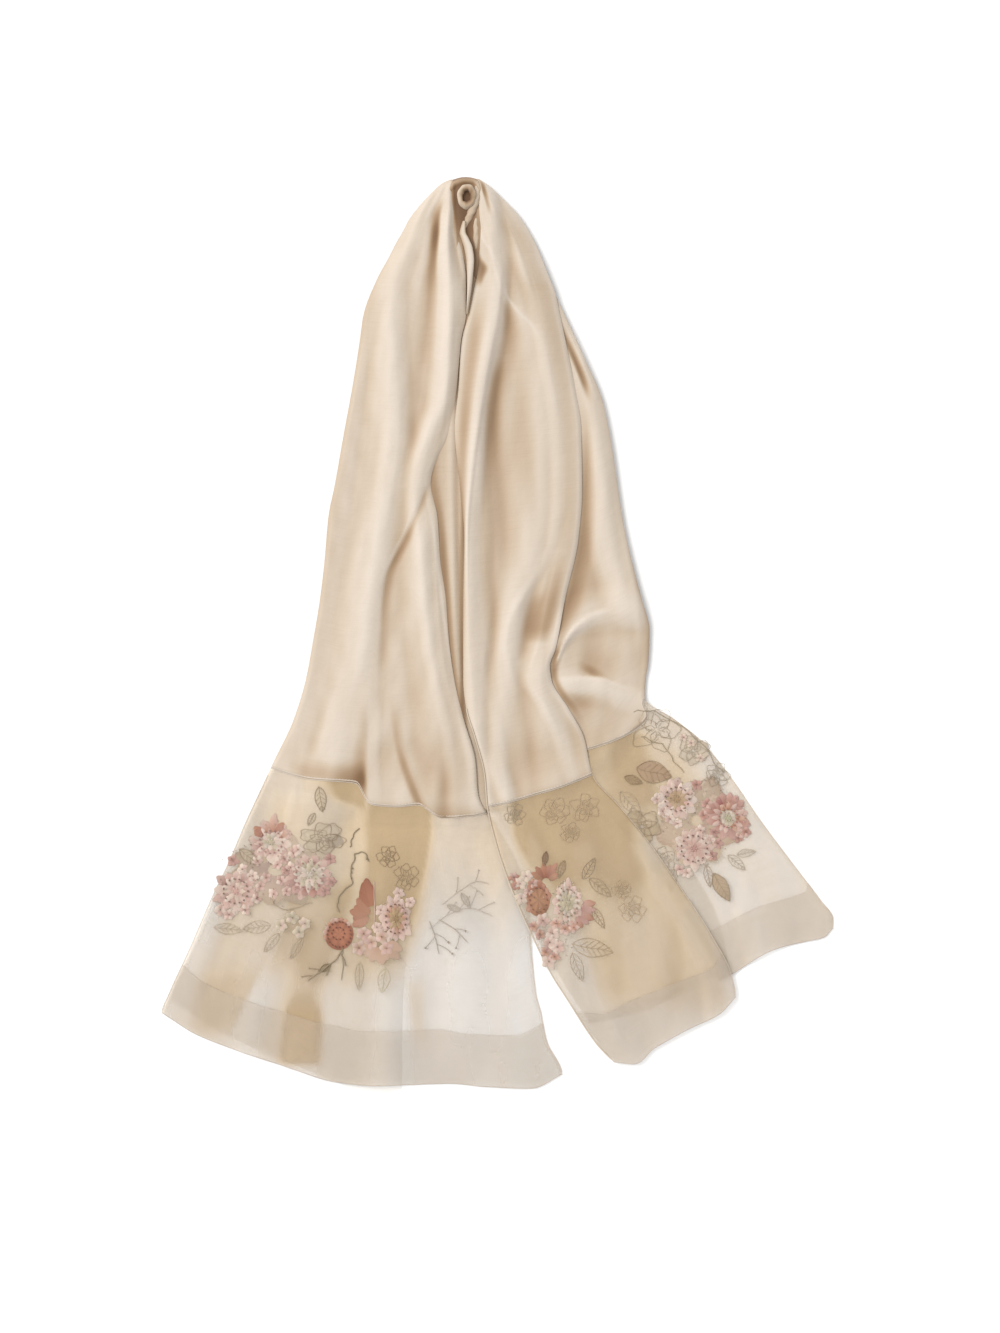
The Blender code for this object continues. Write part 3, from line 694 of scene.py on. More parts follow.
OUTER_RIMS = (
    # the curl's thin rim, its scoop, and the lower lip
    crossing((58, 516, 3, 8, 0), (64, 505, 3, 9, 1.8), (69, 492, 3, 10, 2.2), (77, 479, 3, 12, 2.2),
             (90, 468, 4, 14, 1.8), (105, 460, 5, 16, 1.2), (122, 457, 6, 16, 0)),
    crossing((62, 510, 10, 8, 0), (78, 512, 24, 14, -0.8), (98, 516, 30, 14, -1.2),
             (118, 518, 30, 16, -0.8), (150, 516, 20, 20, 0)),
    crossing((64, 528, 4, 6, 0), (76, 530, 4, 8, 0.8), (97, 528, 4, 10, 1), (112, 531, 5, 10, 0.9),
             (126, 539, 6, 10, 0)),
    crossing((66, 546, 8, 12, 0), (84, 549, 10, 18, -1), (104, 547, 10, 18, -0.8), (124, 552, 8, 12, 0)),
)


def outer_left(down):
    """The left side of the outer stretch, where it runs in under the front one."""
    return read(RIGHT_SIDES, "right", down) - OVERLAP


def step_up(distance, ramp=14 * MM, margin=6 * MM):
    """0 away from a lower layer, rising to 1 just before its edge, where distance is 0, and 1 over it."""
    return rise01((distance + ramp + margin) / ramp)


def organza_starting(down):
    """0 along the silk, rising to 1 before the organza ends lie on each other."""
    return starting(down, 600 * MM, length=45 * MM)


def outer_folds(across, down):
    """The outer stretch's long folds, and the curl that crosses them lower down."""
    curl = ridges(OUTER_CURL, across, down, CURL_FULLNESS) * starting(down, 400 * MM, length=40 * MM)
    return ridges(OUTER_FOLDS, across, down, FOLD_FULLNESS) + curl


def surface_below(across, down):
    """What a stretch lies on: a small gap above the hidden layers, or the white surface past their end."""
    top = hidden_top(across, down)
    return top + LAY_GAP * (top > 0)


def outer_rest(across, down):
    """The underside of the outer stretch, over the organza behind the right end."""
    over_back = step_up(read(RIGHT_BACK_SIDES, "right", down) - across) * organza_starting(down)
    return (surface_below(across, down) + over_back * (ORGANZA_WALL + LAY_GAP) + outer_folds(across, down))


def outer_face(across, down):
    """The top of the outer stretch without its wall: the folds, and creases where nothing covers it."""
    bare = rise01((across - read(RIGHT_SIDES, "right", down)) / (8 * MM) + 1)
    fine = creases(OUTER_CREASES, across, down) + ridges(OUTER_RIMS, across, down)
    return outer_rest(across, down) + bare * (fine + unevenness(across, down, seed=11, size=0.35 * MM))


def kept_above(height, floor, easing=0.8 * MM):
    """A smooth maximum of a height and the lowest height allowed: a hyperbola that eases between them."""
    return 0.5 * (height + floor + np.sqrt((height - floor) ** 2 + easing ** 2))


def stretch(left, right, ends, face, sizes):
    """One stretch from pinch to hem: the grids and heights of its silk, organza and hem band."""
    def edge(name, extra=0.0):
        """One end of a part of the stretch, by the share of its width."""
        return lambda share: read(ends, name, share) + extra

    columns, silk_rows, organza_rows = sizes
    parts = {}
    parts["silk"] = grid(left, right, edge("top"), edge("seam", -SEAM_GAP / 2), columns, silk_rows)
    parts["organza"] = grid(left, right, edge("seam", -TUCKED), edge("foot"), columns, organza_rows)
    turn = int(organza_rows * (1 - HEM_SHARE))
    parts["hem"] = tuple(values[turn:] for values in parts["organza"])
    lifts = {"silk": SILK_WALL, "organza": ORGANZA_WALL, "hem": ORGANZA_WALL + SEAM_GAP + 0.5 * HEM_WALL}
    made = {}
    for kind, (across, down, flat) in parts.items():
        height = face(across, down) + lifts[kind] - edge_roll(across, down, left, right)
        if kind == "organza":
            height = height - 0.15 * MM * (1 - rise01((down - down[0]) / (2.5 * TUCKED)))
        made[kind] = (across, down, flat, kept_above(height, 0.4 * MM + lifts[kind] - ORGANZA_WALL))
    return made


def zone_covers(zones, across, down):
    """The cover of each folded-under pleat, soft from its top, left, bottom and right sides inwards.

    Each zone lists its sides and its cover at each distance down, and how far the cover takes to
    fade in from the top, the left, the bottom and the right.
    """
    covers = []
    for zone, softness in zones:
        first, last = zone["down"][[0, -1]]
        left, right = read(zone, "left", down), read(zone, "right", down)
        inside = (down - first, across - left, last - down, right - across)
        fade = np.prod([rise01(distance / (reach * MM)) for distance, reach in zip(inside, softness)], axis=0)
        covers.append(fade * read(zone, "cover", down))
    return covers


def sheer_end(name, across, down, flat, height, zones, open_weave, under, gathered=0.80, doubled=0.0):
    """An organza end: its cover is high where it is gathered at the seam and at its turned sides.

    The layers below it count as `under` everywhere, and `doubled` more over the end's stretch behind.
    """
    share = np.linspace(0, 1, across.shape[0])[:, None]
    aside = np.minimum(across - across[:, :1], across[:, -1:] - across)
    cover = open_weave + (gathered - open_weave) * (1 - rise01((share - 0.08) / 0.5))
    cover = cover + 0.06 * (1 - rise01(aside / (5 * MM)))
    # painted shade: the organza is denser, and so a deeper tan, where it lies low
    cover = cover + 0.22 * (hollow(height) - 0.35)
    folded = np.sum(zone_covers(zones, across, down), axis=0)
    # layers sets the organza's colour: part its own tan stacked up, part painted glow and shade
    layers = 0.9 * (cover - 0.42) + under + doubled + folded + unevenness(across, down, 61, 0.05)
    return cloth(name, across, down, flat, height, ORGANZA, cover=np.clip(cover, 0, 1),
                 layers=np.clip(layers, 0, 1))


def pleat(softness, *rows):
    """One folded-under pleat: its sides and cover by the distance down, and how softly it ends."""
    return table("down left right cover", *rows), softness


def pleats(name, end, zones):
    """Folded-under pleats of an organza end: one sheet that lies low, just below the front of the end."""
    across, down, flat, height = end
    low = np.minimum(hidden_top(across, down) + 1.0 * MM, height - 0.3 * MM)
    clear = np.prod([1 - cover for cover in zone_covers(zones, across, down)], axis=0)
    piece = cloth(name, across, down, flat, low, ORGANZA, cover=1 - clear, layers=np.full(across.shape, 0.9))
    return piece


HEM_SHARE = 53 / 270
OUTER_SHAPE = (outer_left, column(OUTER_SIDES, "right"), OUTER_ENDS, outer_face)
outer = stretch(*OUTER_SHAPE, sizes=(72, 190, 84))
OUTER_SHADES = (
    # painted shade in a dark crease along the outer side, near the top
    crease((140, 60, 5, 6, 0), (170, 71, 5, 7, 0.6), (205, 86, 5, 8, 0.9), (235, 97, 5, 7, 0.2),
           (245, 100, 5, 6, 0)),
    # painted shade in the hollow beside the front stretch, ever wider down to the curl, and in broad bands
    # further out
    crease((225, 92, 8, 10, 0), (300, 93, 10, 16, 0.3), (360, 90, 12, 22, 0.45), (410, 84, 16, 30, 0.6),
           (440, 78, 16, 32, 0.7), (458, 72, 14, 26, 0.75), (476, 66, 10, 16, 0.7), (490, 64, 8, 9, 0.6),
           (505, 61, 5, 7, 0.8), (522, 59, 5, 7, 0.8), (540, 65, 5, 8, 0.6), (560, 78, 5, 9, 0.4),
           (580, 88, 5, 8, 0)),
    crease((300, 140, 14, 8, 0), (420, 152, 14, 8, 0.25), (500, 160, 14, 8, 0.25), (548, 158, 16, 10, 0.1)),
    crease((560, 104, 40, 40, 0), (575, 100, 40, 40, 0.2), (590, 100, 40, 40, 0.3)),
    # the rim is lit with a painted highlight; painted shade deepens in the bowl to a crease and lies tan in
    # the hollow below the lip, with a thin painted highlight along the lip
    crossing((60, 508, 3, 4, 0), (64, 505, 3, 4, -0.3), (77, 479, 3, 4, -0.35), (90, 468, 3, 4, -0.35),
             (108, 459, 4, 5, -0.25), (124, 456, 4, 5, 0)),
    crossing((66, 512, 34, 16, 0.1), (80, 510, 34, 22, 0.15), (100, 508, 36, 26, 0.2),
             (130, 504, 36, 30, 0.2), (160, 498, 30, 30, 0.2)),
    crossing((84, 514, 8, 5, 0), (94, 519, 9, 6, 0.3), (100, 522, 9, 6, 0.45), (108, 525, 8, 5, 0.3),
             (118, 529, 6, 5, 0)),
    crossing((64, 542, 12, 20, 0.3), (76, 548, 14, 24, 0.45), (92, 552, 14, 26, 0.4),
             (108, 552, 13, 22, 0.25), (122, 552, 10, 16, 0.1), (130, 552, 8, 8, 0)),
    crossing((60, 528, 3, 3, 0), (72, 528, 3, 3, -0.2), (90, 528, 3, 3, -0.3), (108, 528, 3, 3, -0.3),
             (123, 534, 3, 3, -0.25), (147, 541, 3, 3, 0)),
)


def shaded(height, across, down, shades):
    """The painted shade of a stretch: deeper where it lies low, and deeper or lighter shade given in its
    tables.
    """
    return np.clip(hollow(height) + ridges(shades, across, down) / MM, 0, 2)


def sheer_pieces(side, made, zones, hem=(0.26, 0.4), **weave):
    """An organza end, the second layer of its hem and its folded-under pleats, named for their side.

    The hem is its cover and layers, and `weave` the settings of the end.
    """
    end = sheer_end(f"organza_{side}_end", *made["organza"], zones, **weave)
    band = sheer_sheet(f"hem_{side}_band", *made["hem"], *hem)
    return end, band, pleats(f"organza_{side}_pleats", made["organza"], zones)


across, down, flat, height = outer["silk"]
silk_outer = cloth("silk_outer_stretch", across, down, flat, height, SILK, SHELL,
                   shaded(height, across, down, OUTER_SHADES))
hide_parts("silk_right_outer")
OUTER_PLEATS = (
    pleat((22, 10, 50, 40), (572, 84, 158, 0.55), (610, 88, 172, 0.6), (668, 100, 190, 0.5),
          (700, 108, 196, 0.35)),
    pleat((20, 30, 60, 40), (572, 112, 176, 0.3), (640, 130, 236, 0.35), (740, 150, 270, 0.3)),
)
organza_outer, hem_outer, outer_pleats = sheer_pieces("outer", outer, OUTER_PLEATS, gathered=0.62,
                                                      open_weave=0.54, under=0.2)
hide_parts("organza_right_outer")
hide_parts("hem_right_outer")


# ---- the left half
# The left half's front stretch: an inner roll from the pinch down, a fold tip that lies over a lower
# roll, a long soft valley near the outline, and at its end the organza with its deep hem.
LEFT_ENDS = table("share top seam foot", (0, 3, 622, 880), (0.09, 3, 628, 903), (0.21, 3, 634, 922),
                  (0.34, 3, 636, 941), (0.43, 3, 638, 953), (0.52, 3, 661, 957), (0.62, 3, 663, 956),
                  (0.72, 3, 661, 955), (0.8, 3, 675, 958), (0.92, 3, 673, 960), (1, 3, 670, 945))
LEFT_FOLDS = (
    crease((10, -66, 10, 12, 0), (60, -88, 14, 16, 4), (129, -112, 22, 20, 6), (266, -105, 32, 18, 7),
           (382, -122, 32, 20, 6), (487, -141, 30, 26, 5.5), (593, -163, 32, 32, 5), (760, -222, 30, 34, 5),
           (900, -262, 30, 34, 4), (960, -262, 30, 34, 3)),
    crease((4, -49, 5, 5, 1), (70, -53, 14, 10, 7), (129, -48, 18, 15, 8), (191, -51, 20, 13, 8),
           (236, -57, 20, 14, 7), (266, -68, 20, 15, 6.5), (323, -84, 22, 14, 5), (380, -96, 22, 16, 0)),
    crease((335, -80, 18, 16, 0), (400, -80, 22, 18, 6.5), (487, -73, 26, 20, 7), (551, -64, 28, 20, 6.5),
           (614, -55, 32, 22, 5.5), (680, -52, 34, 26, 4), (760, -38, 34, 30, 0)),
    crease((640, -170, 24, 26, 0), (700, -180, 26, 28, 4), (850, -196, 30, 30, 4.5),
           (960, -205, 30, 30, 3.5)),
    crease((690, -112, 20, 22, 0), (780, -112, 24, 22, 4), (880, -112, 26, 22, 4.5), (960, -118, 30, 24, 4)),
    crease((880, 20, 40, 30, 0), (960, 10, 46, 34, 3.5)),
)
LEFT_CREASES = (
    # the long valley near the outline, and the lit swell beside it
    crease((90, -110, 9, 9, 0), (192, -133, 11, 12, -2), (300, -147, 14, 14, -2.2),
           (382, -158, 18, 18, -2.2), (445, -168, 20, 18, -2), (508, -176, 20, 20, -1.8),
           (572, -190, 22, 20, -1.2), (640, -205, 22, 20, 0)),
    crease((150, -110, 10, 14, 0), (260, -114, 10, 16, 1.4), (382, -126, 12, 16, 1.4),
           (480, -138, 12, 18, 1), (560, -150, 12, 18, 0)),
    # the valley beside the inner roll, darkest where the roll stands steeply above it
    crease((30, -64, 6, 6, 0), (60, -67, 8, 7, -2), (118, -70, 12, 9, -3), (191, -78, 18, 12, -2.6),
           (250, -86, 18, 14, -2), (320, -92, 14, 12, 0)),
    crease((4, -56, 3, 3, 0), (16, -66, 4, 4, 1.2), (34, -78, 5, 6, 1.4), (60, -90, 6, 8, 0.6),
           (90, -98, 6, 8, 0)),
    crease((6, -52, 3, 3, 0), (20, -58, 4, 4, -1.2), (36, -66, 4, 5, -1.2), (56, -72, 5, 5, 0)),
    crease((20, -48, 6, 5, 0), (60, -52, 7, 6, 1.6), (130, -51, 8, 7, 2), (220, -53, 10, 8, 1.8),
           (270, -60, 10, 8, 1.2), (318, -74, 8, 4, 0)),
    # the fold tip's edge over the lower roll, running down and out
    crease((322, -71, 4, 5, 0), (345, -80, 4, 6, -1.6), (371, -92, 4, 8, -1.9), (403, -108, 4, 9, -1.8),
           (421, -116, 4, 9, -1.6), (461, -120, 4, 9, -1.2), (530, -122, 5, 10, -0.8),
           (600, -126, 6, 10, 0)),
    crease((350, -66, 5, 5, 0), (420, -64, 5, 5, 1), (500, -58, 6, 5, 1), (600, -36, 6, 6, 0)),
    # pleats that lap over each other towards the seam
    crease((590, -104, 3, 20, 0), (618, -94, 3, 22, 1.2), (650, -82, 3, 24, 1.6), (678, -70, 3, 24, 1.6),
           (730, -54, 4, 24, 1), (790, -40, 4, 24, 0)),
    crease((590, -138, 4, 18, 0), (625, -138, 3, 18, 1.2), (664, -138, 3, 18, 1.4), (740, -146, 4, 18, 0.8),
           (820, -166, 4, 18, 0)),
    crease((500, -116, 8, 3, 0), (560, -124, 10, 3, 0.9), (620, -126, 10, 3, 1), (670, -124, 10, 4, 0)),
    # folds of the organza end
    crease((640, -240, 10, 10, 0), (720, -256, 10, 12, -1.2), (830, -296, 12, 12, -1.4),
           (900, -318, 12, 12, 0)),
    crease((760, -210, 12, 14, 0), (808, -225, 12, 16, 1.4), (899, -259, 12, 16, 1.4),
           (935, -268, 12, 16, 0.8)),
    crease((690, -70, 10, 10, 0), (800, -66, 14, 14, 1.4), (920, -60, 16, 16, 1.2)),
)


def centre_ending(down):
    """1 along the centre strip, falling to 0 below its lower end."""
    return 1 - starting(down, CENTRE_FOOT + 7 * MM, length=30 * MM)


def left_face(across, down):
    """The front of the left half without its wall: what it lies on, its broad folds and its creases."""
    over_centre = step_up(across - read(CENTRE_SIDES, "left", down)) * centre_ending(down)
    over_back = step_up(read(LEFT_BACK_SIDES, "right", down) - across) * organza_starting(down)
    return (surface_below(across, down)
            + over_centre * (SILK_WALL + LAY_GAP) + over_back * (ORGANZA_WALL + LAY_GAP)
            + full_folds(LEFT_FOLDS, across, down) + creases(LEFT_CREASES, across, down)
            + unevenness(across, down, seed=21, size=0.35 * MM))


LEFT_SHAPE = (column(LEFT_SIDES, "left"), column(LEFT_SIDES, "right"), LEFT_ENDS, left_face)
left = stretch(*LEFT_SHAPE, sizes=(110, 250, 110))
LEFT_SHADES = (
    # painted shade: the dark hollow beside the pinch, and the valley that runs down from it
    crease((22, -58, 6, 4, 0), (44, -63, 8, 5, 0.9), (62, -64, 9, 5, 1.15), (84, -66, 9, 5, 0.7),
           (130, -72, 18, 12, 0.15), (200, -82, 22, 16, 0.1), (300, -98, 22, 18, 0)),
    # painted tan shade along the outline
    crease((60, -112, 10, 16, 0), (150, -146, 10, 20, 0.25), (300, -170, 12, 20, 0.25),
           (450, -190, 14, 20, 0.2), (560, -214, 16, 24, 0.1), (620, -236, 16, 30, 0)),
    # painted shade under the fold tip, and a thin painted highlight along its edge
    crease((322, -72, 3, 5, 0), (345, -80, 3, 7, 0.3), (380, -95, 3, 9, 0.35), (421, -115, 4, 9, 0.3),
           (450, -119, 4, 9, 0.25), (520, -121, 5, 9, 0)),
    crease((345, -88, 2, 3, 0), (371, -97, 2, 3, -0.25), (403, -113, 2, 3, -0.3), (421, -121, 2, 3, -0.2),
           (440, -124, 2, 3, 0)),
    # the lit face of the inner roll, and a thin lit line at the fold's inner edge
    crease((60, -52, 8, 8, 0), (120, -54, 12, 12, -0.15), (220, -58, 12, 12, -0.15), (300, -78, 10, 8, 0)),
    crease((330, -76, 3, 2, 0), (380, -66, 3, 2, -0.3), (450, -58, 3, 2, -0.3), (560, -41, 3, 2, 0)),
    # painted shade: the duller lower roll, the hollow between the two lower pleats, and a tan band just above
    # the seam
    crease((440, -76, 24, 26, 0), (560, -66, 36, 32, 0.2), (650, -58, 44, 36, 0.45),
           (676, -50, 44, 36, 0.5)),
    crease((540, -112, 6, 10, 0), (600, -104, 6, 10, 0.45), (640, -92, 6, 12, 0.55), (676, -76, 6, 12, 0.5)),
    crease((520, -140, 12, 6, 0), (580, -140, 14, 6, 0.3), (640, -140, 16, 5, 0.5), (666, -140, 16, 5, 0.5)),
    crossing((-222, 622, 12, 12, 0), (-200, 628, 18, 12, 0.4), (-160, 634, 26, 12, 0.8),
             (-143, 636, 26, 12, 0.7), (-137, 636, 20, 12, 0)),
)
across, down, flat, height = left["silk"]
silk_left = cloth("silk_left_stretch", across, down, flat, height, SILK, SHELL,
                  shaded(height, across, down, LEFT_SHADES))
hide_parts("silk_left")
LEFT_PLEATS = (
    # the deep pleat that starts under the silk and fades as it opens out
    pleat((6, 34, 50, 24), (640, -152, -60, 0.9), (700, -152, -62, 0.9), (763, -156, -66, 0.75),
          (815, -166, -78, 0.5), (870, -180, -96, 0.3)),
    pleat((6, 26, 40, 26), (640, -116, -60, 0.4), (690, -110, -62, 0.5), (760, -112, -68, 0.3)),
    # the layers under the left part, darkest beside the seam's step
    pleat((6, 40, 18, 2), (620, -214, -139, 0.7), (650, -196, -139, 0.7), (670, -166, -138, 0.4)),
    pleat((30, 26, 50, 40), (640, -236, -120, 0.15), (760, -296, -120, 0.25), (870, -336, -120, 0.25)),
    pleat((30, 22, 40, 22), (730, -190, -130, 0.25), (830, -222, -166, 0.35), (900, -240, -190, 0.25)),
    # dull patches where the hem and the layers below it meet: extra layers, deepened with painted shade
    pleat((50, 24, 20, 30), (816, -226, -160, 0.15), (880, -250, -172, 0.15), (934, -264, -176, 0.15)),
    pleat((30, 14, 40, 16), (830, -106, -70, 0.2), (880, -100, -70, 0.28), (930, -92, -66, 0.15)),
    pleat((44, 16, 12, 18), (850, -226, -176, 0.8), (890, -232, -178, 0.95), (940, -238, -180, 0.95)),
    pleat((34, 34, 24, 6), (820, -320, -240, 0.35), (880, -338, -268, 0.4), (915, -344, -284, 0.35)),
    pleat((30, 4, 30, 24), (700, -206, -166, 0.25), (800, -232, -186, 0.2), (850, -246, -196, 0.15)),
)
across, down = left["organza"][:2]
over_back = rise01((read(LEFT_BACK_SIDES, "right", down) - across) / (24 * MM))
doubled = 0.28 * over_back * starting(down, 700 * MM, length=110 * MM)
organza_left, hem_left, left_pleats = sheer_pieces("left", left, LEFT_PLEATS, open_weave=0.43, under=0.1,
                                                   doubled=doubled)
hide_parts("organza_left")
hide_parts("hem_left")


# ---- the front stretch of the right half
# Its front edge is turned back on itself from the pinch down, and a deep sinuous fold runs down its
# middle before the silk widens to the seam.  Its organza end lies over the outer one.
RIGHT_ENDS = table("share top seam foot", (0, 2, 663, 932), (0.15, 2, 659, 934), (0.41, 2, 650, 917),
                   (0.66, 2, 642, 899), (0.9, 2, 633, 881), (1, 2, 629, 863))
RIGHT_FOLDS = (
    crease((4, -14, 7, 8, 0), (40, -4, 14, 12, 6), (90, 2, 22, 14, 7), (127, 2, 26, 12, 8),
           (224, -15, 24, 16, 8), (304, -26, 17, 16, 7), (385, -31, 6, 16, 6), (470, -30, 8, 18, 5),
           (580, -22, 12, 22, 4.5), (640, 4, 14, 18, 3.5), (740, 52, 16, 26, 3), (860, 108, 20, 30, 3),
           (930, 138, 22, 30, 3)),
    crease((60, 22, 16, 16, 0), (150, 38, 26, 26, 4.5), (266, 46, 36, 32, 5.5), (340, 46, 38, 30, 6),
           (390, 38, 34, 26, 6), (440, 24, 26, 18, 6), (490, 14, 24, 16, 5.5), (560, 10, 24, 20, 4),
           (640, 22, 22, 20, 0)),
    crease((495, 48, 16, 10, 0), (530, 44, 22, 14, 5), (590, 60, 28, 22, 6), (640, 66, 30, 24, 5),
           (720, 96, 34, 32, 4), (800, 150, 36, 36, 4), (900, 196, 36, 36, 4)),
)
RIGHT_CREASES = (
    # the turned front edge: lit on its left flank, steep on its right
    crease((96, 4, 18, 4, 0), (127, 2, 22, 4, 2), (224, -14, 20, 4, 2.4), (304, -26, 12, 4, 2.4),
           (385, -33, 6, 4, 2), (480, -34, 4, 5, 0)),
    crease((130, 12, 8, 14, 0), (165, 11, 10, 16, -2.4), (224, 0, 12, 18, -3), (265, -3, 13, 18, -3),
           (320, 2, 16, 18, -2.6), (370, 8, 18, 18, -1.4), (420, 10, 16, 16, 0)),
    # the crease that leaves the pinch and turns out at the shoulder
    crease((10, -20, 3, 8, 0), (30, -18, 4, 9, 1.2), (70, -9, 5, 10, 1.5), (112, 3, 5, 12, 1.4),
           (130, 9, 6, 12, 1.1), (147, 24, 7, 14, 1), (166, 40, 8, 14, 1.1), (190, 45, 9, 14, 1),
           (250, 49, 10, 14, 0)),
    crease((8, -12, 3, 4, 0), (18, -12, 4, 5, -2), (30, -9, 4, 6, -1.8), (50, -2, 5, 6, 0)),
    crease((10, -11, 2, 4, 0), (24, -2, 3, 6, 1.2), (50, 12, 4, 8, 1.4), (80, 24, 5, 8, 0.8),
           (120, 36, 6, 8, 0)),
    crease((16, -2, 3, 3, 0), (34, 8, 4, 5, -1.2), (60, 22, 5, 6, -0.8), (90, 32, 5, 6, 0)),
    crease((50, 16, 6, 6, 0), (75, 20, 6, 8, 1), (110, 30, 7, 8, 0.8), (150, 52, 8, 8, 0)),
    # the sinuous fold and the deep hollow that it bounds
    crease((340, 62, 8, 8, 0), (382, 56, 9, 8, 1), (414, 44, 9, 8, 1.4), (440, 28, 9, 8, 1.6),
           (466, 14, 9, 8, 1.6), (495, 9, 9, 8, 1.4), (518, 14, 8, 8, 1), (550, 20, 8, 8, 0)),
    crease((395, 66, 12, 10, 0), (430, 58, 18, 14, -2.6), (455, 44, 20, 22, -3.4), (480, 36, 18, 22, -2.8),
           (505, 32, 14, 16, -1), (525, 32, 12, 14, 0)),
    # the valley and swell beside the front edge, lower down
    crease((430, 2, 8, 8, 0), (487, -4, 8, 9, -1.4), (529, -9, 8, 9, -1.8), (605, -10, 8, 9, -1.6),
           (655, -2, 8, 8, 0)),
    crease((520, 6, 8, 8, 0), (560, 4, 8, 10, 1), (620, 8, 8, 12, 1), (660, 18, 8, 12, 0)),
    # folds of the organza end
    crease((700, 40, 10, 14, 0), (740, 74, 10, 16, 1), (820, 130, 10, 18, 1.2), (900, 176, 10, 18, 0.8)),
    crease((680, 20, 8, 10, 0), (720, 40, 8, 12, -0.9), (790, 86, 8, 12, -0.9), (850, 120, 8, 12, 0)),
    crease((800, 60, 8, 8, 0), (860, 96, 10, 10, -1), (920, 130, 10, 10, -1)),
)


def right_face(across, down):
    """The front of the right half without its wall: what it lies on, its broad folds and its creases."""
    over_centre = step_up(read(CENTRE_SIDES, "right", down) - across) * centre_ending(down)
    over_left = step_up(read(LEFT_SIDES, "right", down) - across) * organza_starting(down)
    over_outer = step_up(across - outer_left(down)) * starting(down, 58 * MM, length=42 * MM)
    over_outer_hem = over_outer * starting(down, 750 * MM, length=30 * MM)
    bare = 1 - rise01((across - outer_left(down)) / (8 * MM) + 1)
    fine = creases(RIGHT_CREASES, across, down) + unevenness(across, down, seed=31, size=0.35 * MM)
    return (hidden_top(across, down) + LAY_GAP
            + over_centre * (SILK_WALL + LAY_GAP) + over_left * (ORGANZA_WALL + 2 * LAY_GAP)
            + over_outer * (SILK_WALL + 2 * LAY_GAP + outer_folds(across, down))
            + over_outer_hem * (HEM_WALL + 2 * LAY_GAP)
            + organza_starting(down) * (ORGANZA_WALL + LAY_GAP - 2.0 * MM * over_outer)
            + full_folds(RIGHT_FOLDS, across, down) + fine * np.maximum(bare, 0.25))


RIGHT_SHAPE = (column(RIGHT_SIDES, "left"), column(RIGHT_SIDES, "right"), RIGHT_ENDS, right_face)
right = stretch(*RIGHT_SHAPE, sizes=(100, 260, 100))
RIGHT_SHADES = (
    # painted shade beside the pinch, and in the hollow below the twisted strand
    crease((4, -17, 3, 4, 0.4), (14, -15, 3, 5, 1.2), (28, -11, 3, 6, 0.6), (44, -8, 4, 6, 0)),
    crease((78, -24, 6, 4, 0), (88, -20, 9, 6, 0.8), (98, -16, 9, 8, 1.1), (108, -18, 7, 6, 0.9),
           (118, -20, 6, 4, 0)),
    # the turned front edge in painted shade, duller than what it lies on, brown painted shade in the hollow
    # under it, and a painted highlight along its crest
    crease((120, -20, 12, 14, 0), (160, -22, 14, 16, 0.3), (230, -30, 14, 14, 0.45), (310, -37, 10, 9, 0.5),
           (430, -36, 8, 8, 0.25), (520, -30, 8, 12, 0)),
    crease((112, 3, 3, 2, 0), (127, 1, 3, 2, -0.35), (224, -15, 3, 2, -0.45), (304, -27, 3, 2, -0.45),
           (385, -33, 2, 2, -0.3), (450, -34, 2, 2, 0)),
    # the crease that leaves the pinch: a painted highlight on its crest, painted shade below it, and broader
    # painted shade lower on the front
    crease((30, -22, 2, 2, 0), (61, -18, 2, 3, -0.3), (80, -7, 3, 3, -0.35), (99, 2, 3, 3, -0.35),
           (125, 9, 3, 3, -0.3), (142, 21, 3, 4, -0.3), (160, 38, 4, 4, -0.25), (180, 46, 4, 4, 0)),
    crease((122, 4, 3, 8, 0), (140, 8, 6, 12, 0.15), (165, 20, 16, 14, 0.2), (190, 24, 16, 16, 0.15),
           (220, 26, 16, 16, 0)),
    crease((190, 2, 8, 16, 0), (215, -2, 8, 18, 0.35), (245, -8, 8, 20, 0.3), (280, -10, 8, 24, 0.25),
           (330, -12, 10, 30, 0.25), (390, -10, 12, 26, 0.3), (440, -8, 12, 20, 0.2), (490, -6, 12, 16, 0)),
    crease((180, 30, 24, 24, 0), (240, 26, 28, 30, 0.2), (300, 24, 28, 34, 0.3), (350, 26, 26, 30, 0.25),
           (400, 20, 24, 26, 0.1), (440, 16, 20, 20, 0)),
    # painted shade: the greyer shoulder, and tan along the outer side
    crease((30, 4, 12, 16, 0), (70, 22, 22, 20, 0.2), (120, 40, 28, 26, 0.3), (180, 62, 28, 22, 0.25),
           (240, 74, 24, 18, 0.15), (310, 80, 22, 14, 0.2), (380, 76, 20, 14, 0.25), (430, 68, 16, 12, 0.2),
           (480, 56, 12, 10, 0)),
    # painted shade in the deep hollow that the sinuous fold bounds, and lower down towards the seam
    crease((396, 66, 12, 10, 0), (425, 62, 20, 10, 0.35), (452, 54, 26, 14, 0.7), (474, 48, 26, 16, 0.8),
           (484, 46, 24, 14, 0.5), (492, 45, 22, 12, 0)),
    crease((560, 74, 20, 6, 0), (590, 90, 20, 6, 0.3), (628, 99, 20, 6, 0.35)),
    crease((520, 30, 30, 24, 0), (570, 36, 36, 30, 0.15), (620, 46, 44, 36, 0.3), (660, 60, 50, 40, 0.3)),
)
across, down, flat, height = right["silk"]
height = height - merging(across, down, column(RIGHT_SIDES, "right"))
